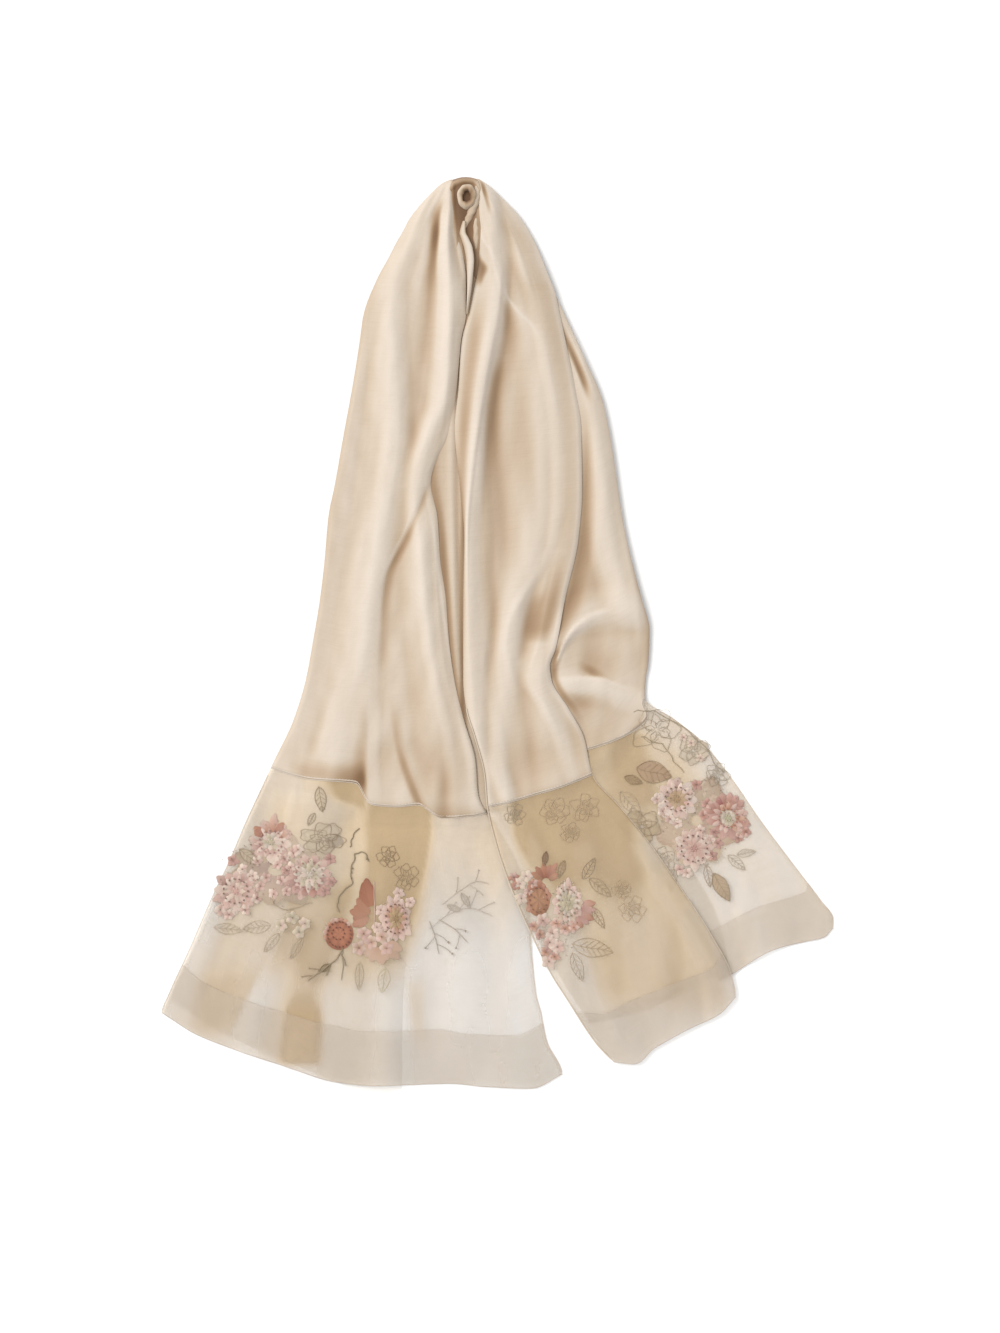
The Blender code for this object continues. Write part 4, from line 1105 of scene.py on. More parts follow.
# a painted light along the right edge takes back some of the painted shade there
edge_painted_light = np.clip(1 - (read(RIGHT_SIDES, "right", down) - across) / (6 * MM), 0, 1)
silk_right = cloth("silk_right_stretch", across, down, flat, height, SILK, SHELL,
                   np.clip(shaded(height, across, down, RIGHT_SHADES) - 0.3 * edge_painted_light, 0, 2))
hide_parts("silk_right")
RIGHT_PLEATS = (
    pleat((6, 16, 70, 34), (620, 0, 150, 0.55), (690, 8, 164, 0.55), (740, 26, 176, 0.3),
          (790, 44, 190, 0.2)),
    pleat((40, 26, 44, 16), (700, 16, 188, 0.3), (800, 70, 230, 0.35), (896, 108, 258, 0.4)),
)
organza_right, hem_right, right_pleats = sheer_pieces("right", right, RIGHT_PLEATS, hem=(0.34, 0.25),
                                                      gathered=0.70, open_weave=0.50, under=0.3)
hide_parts("organza_right")
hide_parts("hem_right")


# ---- thread work
# The embroidery is satin stitch, thread lines and knots in glossy thread, worked on the organza ends
# before they are seamed on.  Each kind of stitch is a small grid that stands a little above the cloth.
def thread_material():
    """Embroidery thread: its colour is the attribute "thread", and fine ridges run along the stitches."""
    finish, tree, shader = new_material("embroidery thread", tone(210, 180, 170), 0.38,
                                        {"Sheen Weight": 0.2, "Specular IOR Level": 0.45})
    dye = add_node(tree, "Attribute", attribute_name="thread")
    stitch = add_node(tree, "UVMap", uv_map="cloth")
    parts = add_node(tree, "SeparateXYZ", links={0: stitch.outputs[0]})
    lines = arithmetic(tree, "SINE", arithmetic(tree, "MULTIPLY", parts.outputs[0], 2 * np.pi / STITCH_PITCH))
    raised = add_node(tree, "Bump", {"Strength": 0.6, "Distance": 0.12 * MM}, {"Height": lines})
    # painted shade in the grooves between the stitches
    shadow = add_node(tree, "MapRange", {"From Min": -1.0, "From Max": 0.2, "To Min": 0.80, "To Max": 1.0},
                      {"Value": lines})
    tree.links.new(multiplied(tree, dye.outputs["Color"], shadow.outputs[0]), shader.inputs["Base Color"])
    tree.links.new(raised.outputs[0], shader.inputs["Normal"])
    return finish


STITCH_PITCH = 0.45 * MM
THREAD = thread_material()
MAUVE, DUSTY, BLUSH = tone(196, 154, 146), tone(219, 181, 172), tone(232, 204, 194)
SHELL_PINK, WHITE_PINK, LILAC = tone(238, 217, 206), tone(246, 232, 221), tone(226, 206, 202)
RUST, TERRACOTTA, BRICK = tone(170, 110, 86), tone(204, 152, 127), tone(190, 138, 124)
UMBER = tone(150, 118, 102)
SAGE, PALE_GREY, IVORY = tone(204, 194, 170), tone(210, 200, 188), tone(238, 225, 207)


def satin(across, down, lift, colour, width):
    """One stack of stitched grids (n, rows, columns), from millimetres: places, lift and thread colour."""
    shape = np.broadcast_shapes(across.shape, down.shape, lift.shape)
    colour = np.broadcast_to(colour, (*shape, 3))
    return [np.broadcast_to(values * MM, shape) for values in (across, down, lift)] + [colour, width * MM]


def petal_aims(count, outer, turn, fan, seed):
    """The random source, and the direction and reach of each petal of a ring, a little uneven."""
    chance = np.random.default_rng(seed)
    angle = np.radians(turn) + 2 * np.pi * fan * (np.arange(count) + chance.normal(0, 0.13, count)) / count
    return chance, angle, outer * (1 + chance.normal(0, 0.08, count))


def turned(middle, along, aside, angle, oval=(1, 1)):
    """Places a distance along and aside of a direction from a middle, squeezed to an oval."""
    return (middle[0] + oval[0] * (along * np.cos(angle) - aside * np.sin(angle)),
            middle[1] + oval[1] * (along * np.sin(angle) + aside * np.cos(angle)))


def petals(middle, count, inner, outer, width, dyes, turn=0.0, oval=(1, 1), fan=1.0, puff=0.6, seed=1):
    """A ring of satin petals around a middle, in millimetres, each in one of the pairs of `dyes`.

    A pair is the thread at a petal's base and at its tip.  A petal's half width is a sine of its
    length, to a power that keeps it blunt, and its pad falls off as the square of the place across.
    """
    chance, angle, reach = petal_aims(count, outer, turn, fan, seed)
    t = np.linspace(0, 1, 8)[None, :, None]
    side = np.linspace(-1, 1, 7)[None, None, :]
    half = 0.5 * width * np.sin(np.pi * (0.13 + 0.73 * t ** 1.3)) ** 0.6
    along = inner + (reach[:, None, None] - inner) * t * (1 - 0.20 * side ** 2)
    across, down = turned(middle, along, half * side, angle[:, None, None], oval)
    lift = 0.12 + puff * (1 - side ** 2) * np.sin(np.pi * (0.08 + 0.84 * t)) ** 0.5
    pairs = np.array(dyes)[chance.integers(0, len(dyes), count)][:, :, None, None, :]
    mix = t[..., None] ** 1.1
    colour = (pairs[:, 0] * (1 - mix) + pairs[:, 1] * mix) * chance.normal(1, 0.06, (count, 1, 1, 1))
    return satin(across, down, lift, colour, width)


def tubes(across, down, radius, colour, lift=0.25):
    """Threads along paths (n, points) in millimetres, as tubes that lie on the cloth."""
    step_across, step_down = np.gradient(across, axis=1), np.gradient(down, axis=1)
    length = np.maximum(np.hypot(step_across, step_down), 1e-6)
    turn = np.linspace(-0.5 * np.pi, 1.5 * np.pi, 7)
    aside = radius * np.cos(turn)
    return satin(across[..., None] - step_down[..., None] / length[..., None] * aside,
                 down[..., None] + step_across[..., None] / length[..., None] * aside,
                 lift + radius * (1 + np.sin(turn)), colour, 1.5)


def line(points, colour, radius=0.55, wobble=0.0, count=None, seed=1):
    """One thread along a smooth curve through points (across, down) in millimetres."""
    points = np.array(points, float)
    knots = np.arange(len(points), dtype=float)
    count = count or 8 * len(points)
    at = np.linspace(0, knots[-1], count)
    across, down = smooth_curve(at, knots, points[:, 0]), smooth_curve(at, knots, points[:, 1])
    if wobble:
        across = across + wobble * np.sin(at * 5.2 + seed)
        down = down + wobble * np.cos(at * 4.3 + 2 * seed)
    return tubes(across[None], down[None], radius, colour)


def petal_lines(middle, count, inner, outer, width, colour, turn=0.0, oval=(1, 1), radius=0.3, wave=0.0,
                fan=1.0, seed=1):
    """A thread around each petal of a ring, its outline waved by a share `wave` of its reach."""
    chance, angle, reach = petal_aims(count, outer, turn, fan, seed)
    loop = np.linspace(0, 1, 21)[None, :]
    frill = 1 + wave * np.sin(5 * np.pi * loop + 2.3 * chance.normal(0, 1, count)[:, None])
    along = inner + (reach[:, None] - inner) * np.sin(np.pi * loop) ** 0.7 * frill
    aside = -0.5 * width * np.cos(np.pi * loop) * np.sin(np.pi * (0.12 + 0.76 * loop)) ** 0.3 * frill
    return tubes(*turned(middle, along, aside, angle[:, None], oval), radius, colour)


def knots(places, size, colour, lift=0.4, long=1.0, turn=0.0):
    """Round knots, or short stitches if they are long, centred on places (n, 2) in millimetres."""
    places = np.array(places, float)
    polar = np.linspace(0, np.pi, 5)[None, :, None]
    around = np.linspace(0, 2 * np.pi, 7)[None, None, :]
    x = size * long * np.sin(polar) * np.cos(around)
    y = size * np.sin(polar) * np.sin(around)
    turn = np.broadcast_to(np.asarray(turn, float), len(places))[:, None, None]
    across, down = turned(places.T[:, :, None, None], x, y, turn)
    return satin(across, down, lift + size * (1 + np.cos(polar)), colour, 1.5)


def ring(middle, radius, count, size, colour, oval=(1, 1), lift=0.5):
    """Knots set in a ring."""
    angle = 2 * np.pi * np.arange(count) / count
    places = np.stack(turned(middle, radius, 0, angle, oval), -1)
    return knots(places, size, colour, lift, long=1.5, turn=angle + np.pi / 2)


def disc(middle, radius, colour, edge, oval=(1, 1), puff=0.9):
    """A round satin pad, whose stitches wind round it."""
    around = np.linspace(0, 2 * np.pi, 25)[None, None, :]
    out = np.linspace(0.02, 1, 7)[None, :, None]
    mix = out[..., None] ** 2
    dye = np.array(colour) * (1 - mix) + np.array(edge) * mix
    return satin(*turned(middle, radius * out, 0, around, oval), 0.15 + puff * (1 - out ** 2), dye, 3)


def leaf(middle, length, width, turn, outline, fill=None, veins=4):
    """A leaf: a thread round it, a midrib and side veins, over a thin satin fill if it has one."""
    def placed(along, aside):
        """Places along and aside of the leaf's midrib."""
        return turned(middle, np.atleast_2d(along), np.atleast_2d(aside), np.radians(turn))

    t, part, both = np.linspace(0, 1, 17), np.linspace(0, 1, 5), np.array([[1], [-1]])
    half = 0.5 * width * np.sin(np.pi * t ** 0.85) ** 0.9
    along = (t - 0.5) * length
    rib = placed((np.linspace(0, 1, 12) - 0.5) * 0.94 * length, 0.03 * width * np.sin(np.linspace(0, 6, 12)))
    work = [tubes(*placed(along, both * half), 0.32, outline), tubes(*rib, 0.28, outline)]
    for vein in np.linspace(0.2, 0.75, veins):
        reach = 0.42 * width * np.sin(np.pi * vein ** 0.85)
        pair = placed((vein - 0.5) * length + 0.16 * length * part, -both * reach * part)
        work.append(tubes(*pair, 0.2, outline))
    if fill is not None:
        side = np.linspace(-1, 1, 7)
        pad = placed(along[None, :, None], half[None, :, None] * side * 0.94)
        work.append(satin(*pad, 0.12 + 0.25 * (1 - side ** 2), fill, width))
    return work


def leaves(outline, *rows):
    """Drawn leaves of one thread, each from its middle, length, width and turn."""
    return [leaf(*row, outline) for row in rows]


def strewn(middle, inner, outer, count, size, dyes, oval=(1, 1), seed=1):
    """Loose knots in a ring zone around a middle, each in one of the dyes."""
    chance = np.random.default_rng(seed)
    angle = 2 * np.pi * chance.random(count)
    out = inner + (outer - inner) * np.sqrt(chance.random(count))
    dye = np.array(dyes)[chance.integers(0, len(dyes), count)][:, None, None, :]
    return knots(np.stack(turned(middle, out, 0, angle, oval), -1), size, dye, 0.7)


def flower(middle, size, outer, second, inner, dots, eye, turn=0.0, oval=(1, 1), ring_at=0.52, seed=1):
    """A full flower: two rows of rounded petals, a ring of dark knots, a small inner row and an eye."""
    return [
        petals(middle, 12, 0.50 * size, size, 0.44 * size, outer, turn, oval, seed=seed),
        petals(middle, 12, 0.36 * size, 0.78 * size, 0.28 * size, second, turn + 15, oval, puff=0.9,
               seed=seed + 1),
        strewn(middle, 0.62 * size, 1.02 * size, 26, 0.55, (*[tip for _, tip in second], dots), oval,
               seed + 2),
        petals(middle, 9, 0.14 * size, 0.93 * ring_at * size, 0.24 * size, inner, turn + 5, oval,
               seed=seed + 3),
        ring(middle, ring_at * size, 15, 0.85, dots, oval, lift=1.0),
        # the eye's edge is a fifth darker than its middle: painted shade round the pad
        disc(middle, 0.20 * size, eye, 0.8 * np.array(eye), oval, puff=0.7),
        ring(middle, 0.13 * size, 6, 0.5, inner[0][1], oval, lift=0.8),
    ]


def florets(spots, size, dyes, seed=1):
    """Small five-petalled florets, each with a knot in its middle."""
    work = [petals(spot, 5, 0.10 * size, size, 0.90 * size, dyes, 37 * number, puff=0.8, seed=seed + number)
            for number, spot in enumerate(spots)]
    return [*work, knots(spots, 0.55, UMBER, lift=0.8)]


def drawn_bloom(middle, size, colour, fill=None, turn=0.0, oval=(1, 1), count=6, seed=1):
    """A large open flower drawn in thread: waved petals in two rows, and strokes out of its middle."""
    angle = np.linspace(0, 2 * np.pi, 9, endpoint=False)[:, None] + 0.3
    out = size * np.linspace(0.08, 0.34, 4)[None, :]
    work = [petal_lines(middle, count, 0.16 * size, size, 0.92 * size, colour, turn, oval, 0.25, wave=0.07,
                        seed=seed),
            petal_lines(middle, count - 1, 0.10 * size, 0.6 * size, 0.5 * size, colour, turn + 28, oval, 0.2,
                        wave=0.06, seed=seed + 1),
            tubes(*turned(middle, out, 0, angle, oval), 0.2, colour)]
    if fill is not None:
        work.append(petals(middle, count, 0.12 * size, 0.93 * size, 0.9 * size, ((fill, fill),), turn, oval,
                           puff=0.15, seed=seed))
    return work


def sprig(stem, colour, buds=(), radius=0.4, bud=0.9, wobble=0.0, seed=1):
    """A thread stem with short side twigs that end in knots."""
    work = [line(stem, colour, radius, wobble, seed=seed)]
    for start, end in buds:
        work.append(line((start, ((start[0] + end[0]) / 2 + 0.8, (start[1] + end[1]) / 2 - 0.8), end), colour,
                         0.8 * radius, seed=seed))
        work.append(knots([end], bud, colour, lift=0.2))
    return work


def flatten(work):
    """The stitched grids of nested lists, in one list."""
    for part in work:
        if isinstance(part[0], np.ndarray):
            yield part
        else:
            yield from flatten(part)


DYE_WARMTH = (1.06, 1.0, 0.93)  # the ridges of glossy thread pick up white light, so its dyes are warmer


def stitchwork(name, work, top):
    """One piece of thread work, set on the cloth whose top is top(across, down)."""
    count = 0
    points, faces, flats, dyes = [], [], [], []
    for across, down, lift, colour, width in flatten(work):
        index = np.arange(across.size).reshape(across.shape) + count
        faces.append(quads(index))
        points.append(place(across, down, top(across, down) + lift).reshape(-1, 3))
        side = np.linspace(0, 1, across.shape[2])[None, None, :] * width + 0 * across
        row = np.linspace(0, 1, across.shape[1])[None, :, None] * 3 * width + 0 * across
        flats.append(np.stack([side, row], -1).reshape(-1, 2))
        dyes.append(np.concatenate([colour * DYE_WARMTH, np.ones((*colour.shape[:3], 1))], -1).reshape(-1, 4))
        count += across.size
    piece = lay(name, np.concatenate(points), np.concatenate(faces), np.concatenate(flats), THREAD)
    layer = piece.data.color_attributes.new("thread", "FLOAT_COLOR", "POINT")
    layer.data.foreach_set("color", np.concatenate(dyes).astype(np.float32).ravel())
    return piece


def on_organza(face):
    """The top of an organza end, for what is sewn on it."""
    return lambda across, down: np.maximum(face(across, down) + ORGANZA_WALL, 1.2 * MM)


# ---- embroidery
# Clusters of full flowers in dusty pinks and rust, with drawn leaves, twigs and blooms round them, in
# the makers' usual mirrored corners.  Two or three flowers fill each cluster and the rest trails off pale.
GROUND = tone(212, 194, 172)
PINKS = ((DUSTY, BLUSH), (MAUVE, BLUSH), (DUSTY, SHELL_PINK), (BLUSH, WHITE_PINK))
PALE_PINKS = ((BLUSH, WHITE_PINK), (DUSTY, SHELL_PINK), (SHELL_PINK, WHITE_PINK))
WHITES = ((PALE_GREY, WHITE_PINK), (SHELL_PINK, WHITE_PINK), (SAGE, IVORY))
RUSTS = ((RUST, TERRACOTTA), (BRICK, TERRACOTTA), (TERRACOTTA, BLUSH))
LINE, FAINT = tone(184, 161, 134), tone(204, 186, 160)
LEFT_WORK = [
    petals((-234, 730), 9, 8, 50, 34, ((GROUND, tone(216, 198, 180)), (tone(214, 190, 178), GROUND)), 10,
           (1.0, 0.75), puff=0.05, seed=11),
    drawn_bloom((-183, 697), 23, LINE, tone(216, 203, 182), 14, (1.05, 0.75), seed=12),
    flower((-239, 700), 23, PINKS, PALE_PINKS, WHITES, MAUVE, SAGE, 8, seed=2),
    petals((-239, 700), 6, 10, 24, 10, RUSTS[1:], 205, fan=0.42, puff=1.0, seed=3),
    flower((-198, 735), 24, PINKS[:3], WHITES, WHITES, MAUVE, PALE_GREY, 20, seed=4, ring_at=0.6),
    petals((-198, 735), 5, 15, 25, 10, ((MAUVE, DUSTY), (BRICK, DUSTY)), 60, fan=0.33, puff=0.9, seed=5),
    flower((-276, 752), 23, PINKS, PALE_PINKS, ((DUSTY, SHELL_PINK), (BLUSH, IVORY)), UMBER, DUSTY, 2,
           seed=6, ring_at=0.56),
    florets([(-224, 718), (-215, 712), (-232, 724), (-244, 738), (-228, 741), (-250, 747), (-254, 760),
             (-218, 727), (-236, 755), (-222, 752)], 6.0, PINKS, seed=7),
    florets([(-253, 720), (-269, 729), (-283, 777), (-266, 772), (-210, 708), (-258, 736), (-292, 772)],
            6.4, PALE_PINKS, seed=20),
    florets([(-279, 720), (-176, 718), (-175, 742), (-182, 752), (-222, 730)], 6.4, ((MAUVE, DUSTY),),
            seed=30),
    strewn((-240, 735), 10, 58, 60, 0.6, (WHITE_PINK, UMBER, MAUVE, SHELL_PINK), (1.0, 0.62), seed=31),
    florets([(-216, 780), (-203, 786), (-228, 788), (-209, 795)], 7.0, ((SAGE, IVORY), (BLUSH, IVORY)),
            seed=33),
    leaf((-186, 655), 27, 12, 82, LINE, tone(224, 210, 186)),
    leaf((-196, 676), 15, 7, 120, FAINT),
    leaf((-262, 716), 26, 11, 40, LINE, tone(216, 202, 182)),
    leaves(FAINT, ((-284, 792), 30, 11, 8), ((-254, 790), 30, 13, 172), ((-238, 806), 26, 9, 130),
           ((-212, 812), 26, 8, 120)),
    line([(-238, 757), (-234, 766), (-226, 771), (-216, 771), (-206, 767), (-196, 764)], LINE, 0.4,
         wobble=0.6),
    line([(-136.5, 721), (-138, 714), (-144, 711), (-150, 713), (-151.5, 720), (-155, 731), (-153, 743),
          (-161, 750), (-167, 759), (-169, 767), (-167, 774)], tone(162, 148, 118), 0.6, wobble=0.5),
    knots([(-154, 732), (-154, 738), (-153, 728), (-138, 718)], 1.1, tone(156, 142, 112), 0.0),
    line([(-146, 686), (-152, 693), (-154, 700), (-155, 706)], tone(150, 134, 104), 0.5, wobble=0.5),
    petals((-134.5, 770), 3, 2, 29, 15, ((tone(188, 132, 104), RUST),), 248, fan=0.07, puff=0.9, seed=14),
    petals((-136, 778), 5, 1, 19, 13, ((tone(196, 148, 122), tone(190, 136, 110)),), 150, fan=0.3, seed=15),
    line([(-130, 742), (-130, 756), (-129.5, 772), (-130, 790)], tone(232, 206, 190), 0.4),
    disc((-167, 797.5), 15, tone(190, 128, 100), tone(164, 108, 84), (1.02, 1.12), puff=1.2),
    ring((-167, 797.5), 12, 20, 0.8, tone(146, 88, 70), (1.02, 1.12), lift=0.8),
    ring((-168, 796.5), 6.5, 10, 0.8, tone(150, 92, 72), lift=1.1),
    petals((-167, 797.5), 9, 11, 17, 7, ((RUST, tone(226, 176, 150)), (TERRACOTTA, BLUSH)), 170, fan=0.45,
           seed=16),
    flower((-107, 781), 17.5, ((DUSTY, SHELL_PINK), (BLUSH, SHELL_PINK)),
           ((DUSTY, BLUSH), (TERRACOTTA, BLUSH)), ((tone(196, 168, 130), tone(206, 180, 144)),),
           tone(136, 104, 80), tone(176, 146, 108), 5, (1.0, 1.42), ring_at=0.62, seed=17),
    florets([(-123, 772), (-127, 790), (-92, 764), (-104, 754)], 6.5, ((BLUSH, SHELL_PINK),), seed=40),
    florets([(-122, 800), (-133, 806), (-141, 797), (-117, 812), (-146, 812)], 8.0,
            ((DUSTY, BLUSH), (tone(206, 170, 148), SHELL_PINK)), seed=41),
    petals((-124, 806), 8, 5, 22, 13, ((tone(208, 172, 150), tone(218, 190, 170)),), 20, fan=0.5, puff=0.3,
           seed=18),
    drawn_bloom((-115, 716), 12, tone(178, 152, 116), seed=20),
    drawn_bloom((-96, 738), 14, tone(188, 164, 130), None, 24, seed=21),
    sprig([(-164, 814), (-170, 824), (-183, 834), (-199, 846)], tone(166, 148, 120),
          [((-166, 818), (-160, 830)), ((-176, 828), (-180, 840)), ((-186, 836), (-198, 833)),
           ((-192, 841), (-206, 842))], radius=0.7, wobble=0.5, seed=2),
    leaf((-182, 833), 15, 7, 150, tone(166, 148, 120), tone(188, 170, 138)),
    line([(-164, 812), (-163, 826), (-164, 846)], tone(172, 158, 130), 0.5, wobble=0.5),
    leaf((-146, 842), 30, 9, 92, tone(214, 200, 172)),
    leaf((-120, 846), 26, 13, 100, tone(212, 202, 166)),
    sprig([(-72, 792), (-50, 776), (-30, 770), (-6, 778)], PALE_GREY,
          [((-56, 780), (-44, 764)), ((-44, 775), (-30, 758)), ((-30, 770), (-22, 752)),
           ((-20, 772), (-4, 764))], radius=0.32, bud=0.7, seed=3),
    sprig([(-58, 766), (-40, 752), (-22, 742), (-10, 744)], PALE_GREY,
          [((-44, 755), (-42, 738)), ((-30, 746), (-16, 756)), ((-24, 743), (-20, 730))], radius=0.32,
          bud=0.7, seed=4),
    sprig([(-72, 784), (-66, 800), (-62, 818)], tone(190, 178, 160),
          [((-68, 796), (-52, 806)), ((-66, 800), (-76, 812)), ((-64, 808), (-48, 818))], bud=1.3, seed=5),
    sprig([(-62, 782), (-46, 792), (-32, 806)], tone(196, 184, 168),
          [((-46, 792), (-34, 794)), ((-40, 798), (-44, 812))], bud=1.2, seed=6),
    leaf((-34, 762), 18, 6, 60, PALE_GREY, tone(226, 220, 210)),
    leaf((-46, 770), 16, 6, 20, PALE_GREY, tone(226, 220, 210)),
]
OUTER_WORK = [
    petals((210, 678), 8, 6, 50, 36, ((GROUND, tone(208, 184, 162)), (tone(206, 178, 164), GROUND)), 20,
           puff=0.05, seed=29),
    leaf((165, 627), 38, 23, 14, tone(176, 150, 118), tone(202, 174, 144)),
    leaf((143, 635), 20, 9, 20, tone(172, 148, 114), tone(190, 164, 130)),
    leaf((140, 660), 34, 15, 50, FAINT),
    drawn_bloom((152, 684), 20, LINE, tone(208, 190, 160), 10, seed=43),
    flower((189, 655), 23, ((BLUSH, SHELL_PINK), (LILAC, WHITE_PINK), (DUSTY, SHELL_PINK)), PALE_PINKS,
           ((tone(196, 168, 136), tone(206, 180, 150)),), UMBER, tone(184, 156, 120), 5, seed=31,
           ring_at=0.55),
    flower((243, 675), 23, ((BRICK, DUSTY), (MAUVE, DUSTY), (DUSTY, BLUSH)),
           ((TERRACOTTA, tone(236, 204, 184)), (DUSTY, SHELL_PINK)), ((SAGE, IVORY), (PALE_GREY, IVORY)),
           tone(196, 140, 124), tone(192, 188, 160), 16, seed=33, ring_at=0.42),
    petals((243, 675), 7, 15, 26, 9, ((tone(168, 100, 98), MAUVE), (BRICK, DUSTY)), 200, fan=0.36, puff=1.0,
           seed=34),
    flower((207, 707), 22, ((DUSTY, SHELL_PINK), (BLUSH, WHITE_PINK)), PALE_PINKS, ((DUSTY, BLUSH),),
           tone(134, 98, 92), MAUVE, 28, seed=36, ring_at=0.62),
    florets([(182, 676), (190, 681), (174, 668), (168, 655), (200, 733), (192, 729), (224, 697), (214, 688)],
            6.0, PALE_PINKS, seed=50),
    florets([(221, 660), (217, 672), (228, 690), (210, 640), (262, 690), (254, 696), (232, 702), (226, 715)],
            6.0, ((MAUVE, DUSTY), (BRICK, DUSTY), (DUSTY, BLUSH)), seed=60),
    strewn((214, 680), 8, 46, 60, 0.6, (WHITE_PINK, UMBER, SHELL_PINK, MAUVE), seed=61),
    drawn_bloom((168, 582), 24, tone(186, 170, 142), None, 10, (1.1, 1.0), 5, seed=40),
    drawn_bloom((206, 604), 17, tone(194, 180, 156), tone(226, 214, 196), 30, seed=41),
    florets([(196, 590), (204, 596), (214, 612)], 5.0, ((BLUSH, IVORY),), seed=70),
    drawn_bloom((232, 630), 13, tone(188, 174, 150), seed=42),
    line([(142, 564), (156, 561), (172, 566), (190, 576), (206, 588), (222, 606), (238, 628)],
         tone(170, 156, 132), 0.4, wobble=1.4, count=60),
    line([(150, 590), (166, 594), (178, 602), (186, 616), (196, 626)], tone(176, 158, 128), 0.4, wobble=1.4,
         count=50),
    leaf((236, 748), 34, 15, 60, tone(180, 160, 134), tone(208, 188, 162), veins=5),
    leaf((222, 736), 24, 9, 80, LINE),
    leaf((252, 722), 24, 10, 40, tone(200, 186, 162)),
    leaf((262, 712), 20, 8, -10, tone(206, 192, 170)),
    leaf((184, 740), 24, 9, 100, FAINT),
    drawn_bloom((174, 720), 14, FAINT, None, 20, seed=44),
]
GHOST = tone(214, 189, 154)  # a flower on a layer below, seen through the one above it
RIGHT_WORK = [
    petals((76, 770), 6, 12, 25, 10, ((DUSTY, TERRACOTTA), (MAUVE, DUSTY)), -12, fan=0.30, puff=0.8,
           seed=53),
    disc((43, 761), 13.0, tone(188, 144, 114), tone(170, 122, 94), (0.95, 1.35), puff=0.8),
    petals((43, 761), 9, 8, 15, 8, ((RUST, TERRACOTTA), (tone(176, 130, 104), TERRACOTTA)), 150,
           (0.95, 1.35), fan=0.62, seed=52),
    ring((43, 761), 9.5, 14, 0.7, tone(150, 104, 82), (0.95, 1.35), lift=0.8),
    flower((74, 764), 17.5, ((DUSTY, SHELL_PINK), (tone(210, 180, 160), IVORY)), WHITES,
           ((SAGE, tone(214, 204, 180)),), tone(176, 158, 134), SAGE, 6, (0.95, 1.35), ring_at=0.60,
           seed=51),
    florets([(71, 792), (62, 786), (80, 790)], 7.0, ((TERRACOTTA, BLUSH), (DUSTY, SHELL_PINK)), seed=80),
    petals((51, 742), 6, 4, 19, 8, ((RUST, TERRACOTTA), (tone(170, 130, 100), TERRACOTTA)), 215, fan=0.36,
           seed=54),
    florets([(23.5, 744), (25, 759.5), (30, 736)], 7.0, ((SHELL_PINK, IVORY), (BLUSH, WHITE_PINK)), seed=55),
    florets([(17, 737), (19, 746), (33, 752), (37, 744)], 5.5, ((MAUVE, TERRACOTTA), (DUSTY, BLUSH)),
            seed=56),
    florets([(48, 783), (58, 797), (55, 806), (63, 811), (54, 826)], 8.0,
            ((DUSTY, SHELL_PINK), (BLUSH, WHITE_PINK)), seed=57),
    florets([(38, 789), (45, 798), (51, 816), (60, 821)], 6.0, ((MAUVE, DUSTY), (TERRACOTTA, BLUSH)),
            seed=58),
    strewn((54, 784), 6, 40, 46, 0.6, (WHITE_PINK, UMBER, SHELL_PINK, MAUVE), (0.8, 1.1), seed=59),
    leaf((50, 718), 16, 6, 100, tone(160, 132, 104), tone(172, 142, 114)),
    leaf((67, 729), 20, 7, 110, tone(184, 160, 128), tone(196, 172, 138)),
    leaf((100, 812), 44, 19, 12, tone(192, 168, 134), veins=5),
    leaf((84, 832), 32, 12, 70, FAINT),
    leaves(tone(184, 160, 128), ((106, 780), 26, 9, 60), ((108, 748), 30, 12, 40), ((96, 728), 26, 10, 300)),
    *[drawn_bloom(middle, size, dye, None, turn, seed=62 + number) for number, (middle, size, dye, turn) in
      enumerate([((60, 668), 16, GHOST, 0), ((92, 664), 14, GHOST, 20), ((76, 690), 11, GHOST, 40),
                 ((18, 672), 11, tone(206, 190, 162), 0), ((142, 770), 14, GHOST, 10),
                 ((130, 750), 10, GHOST, 0)])],
]
sewn_left = stitchwork("embroidery_left", LEFT_WORK, on_organza(left_face))
sewn_right = stitchwork("embroidery_right", RIGHT_WORK, on_organza(right_face))
sewn_outer = stitchwork("embroidery_outer", OUTER_WORK, on_organza(outer_face))


# ---- seams, hem stitches and edges
# The silk is folded over the organza at the joining seam and top-stitched.  A row of small stitches
# holds each hem, and the free edges of the right half's front stretch are rolled and whipped.
SEAM_WIDTH = 3.6 * MM
SEAM_LAP = 0.6 * MM  # how far the band reaches over the organza
SEAM_RISE, SEAM_ROUNDING, SEAM_WRAP = 0.06 * MM, 0.30 * MM, 0.25 * MM
# the seam band's painted shade is set lighter than level silk: a painted light that keeps the band from
# looking darker than the silk
SEAM_FLOOR, SEAM_THICKNESS, SEAM_PAINTED_SHADE = 1.5 * MM, 0.2 * MM, 0.15
HEM_STITCH, SEAM_STITCH = (2.6 * MM, 0.22), (2.2 * MM, 0.20)  # a stitch's length, and its radius in mm
HEM_THREAD, SEAM_THREAD = tone(206, 190, 172), tone(238, 222, 204)
FOOT_THREAD, EDGE_THREAD = tone(206, 194, 180), tone(232, 219, 201)
STITCH_INSET, EDGE_INSET = 2.4 * MM, 0.4 * MM


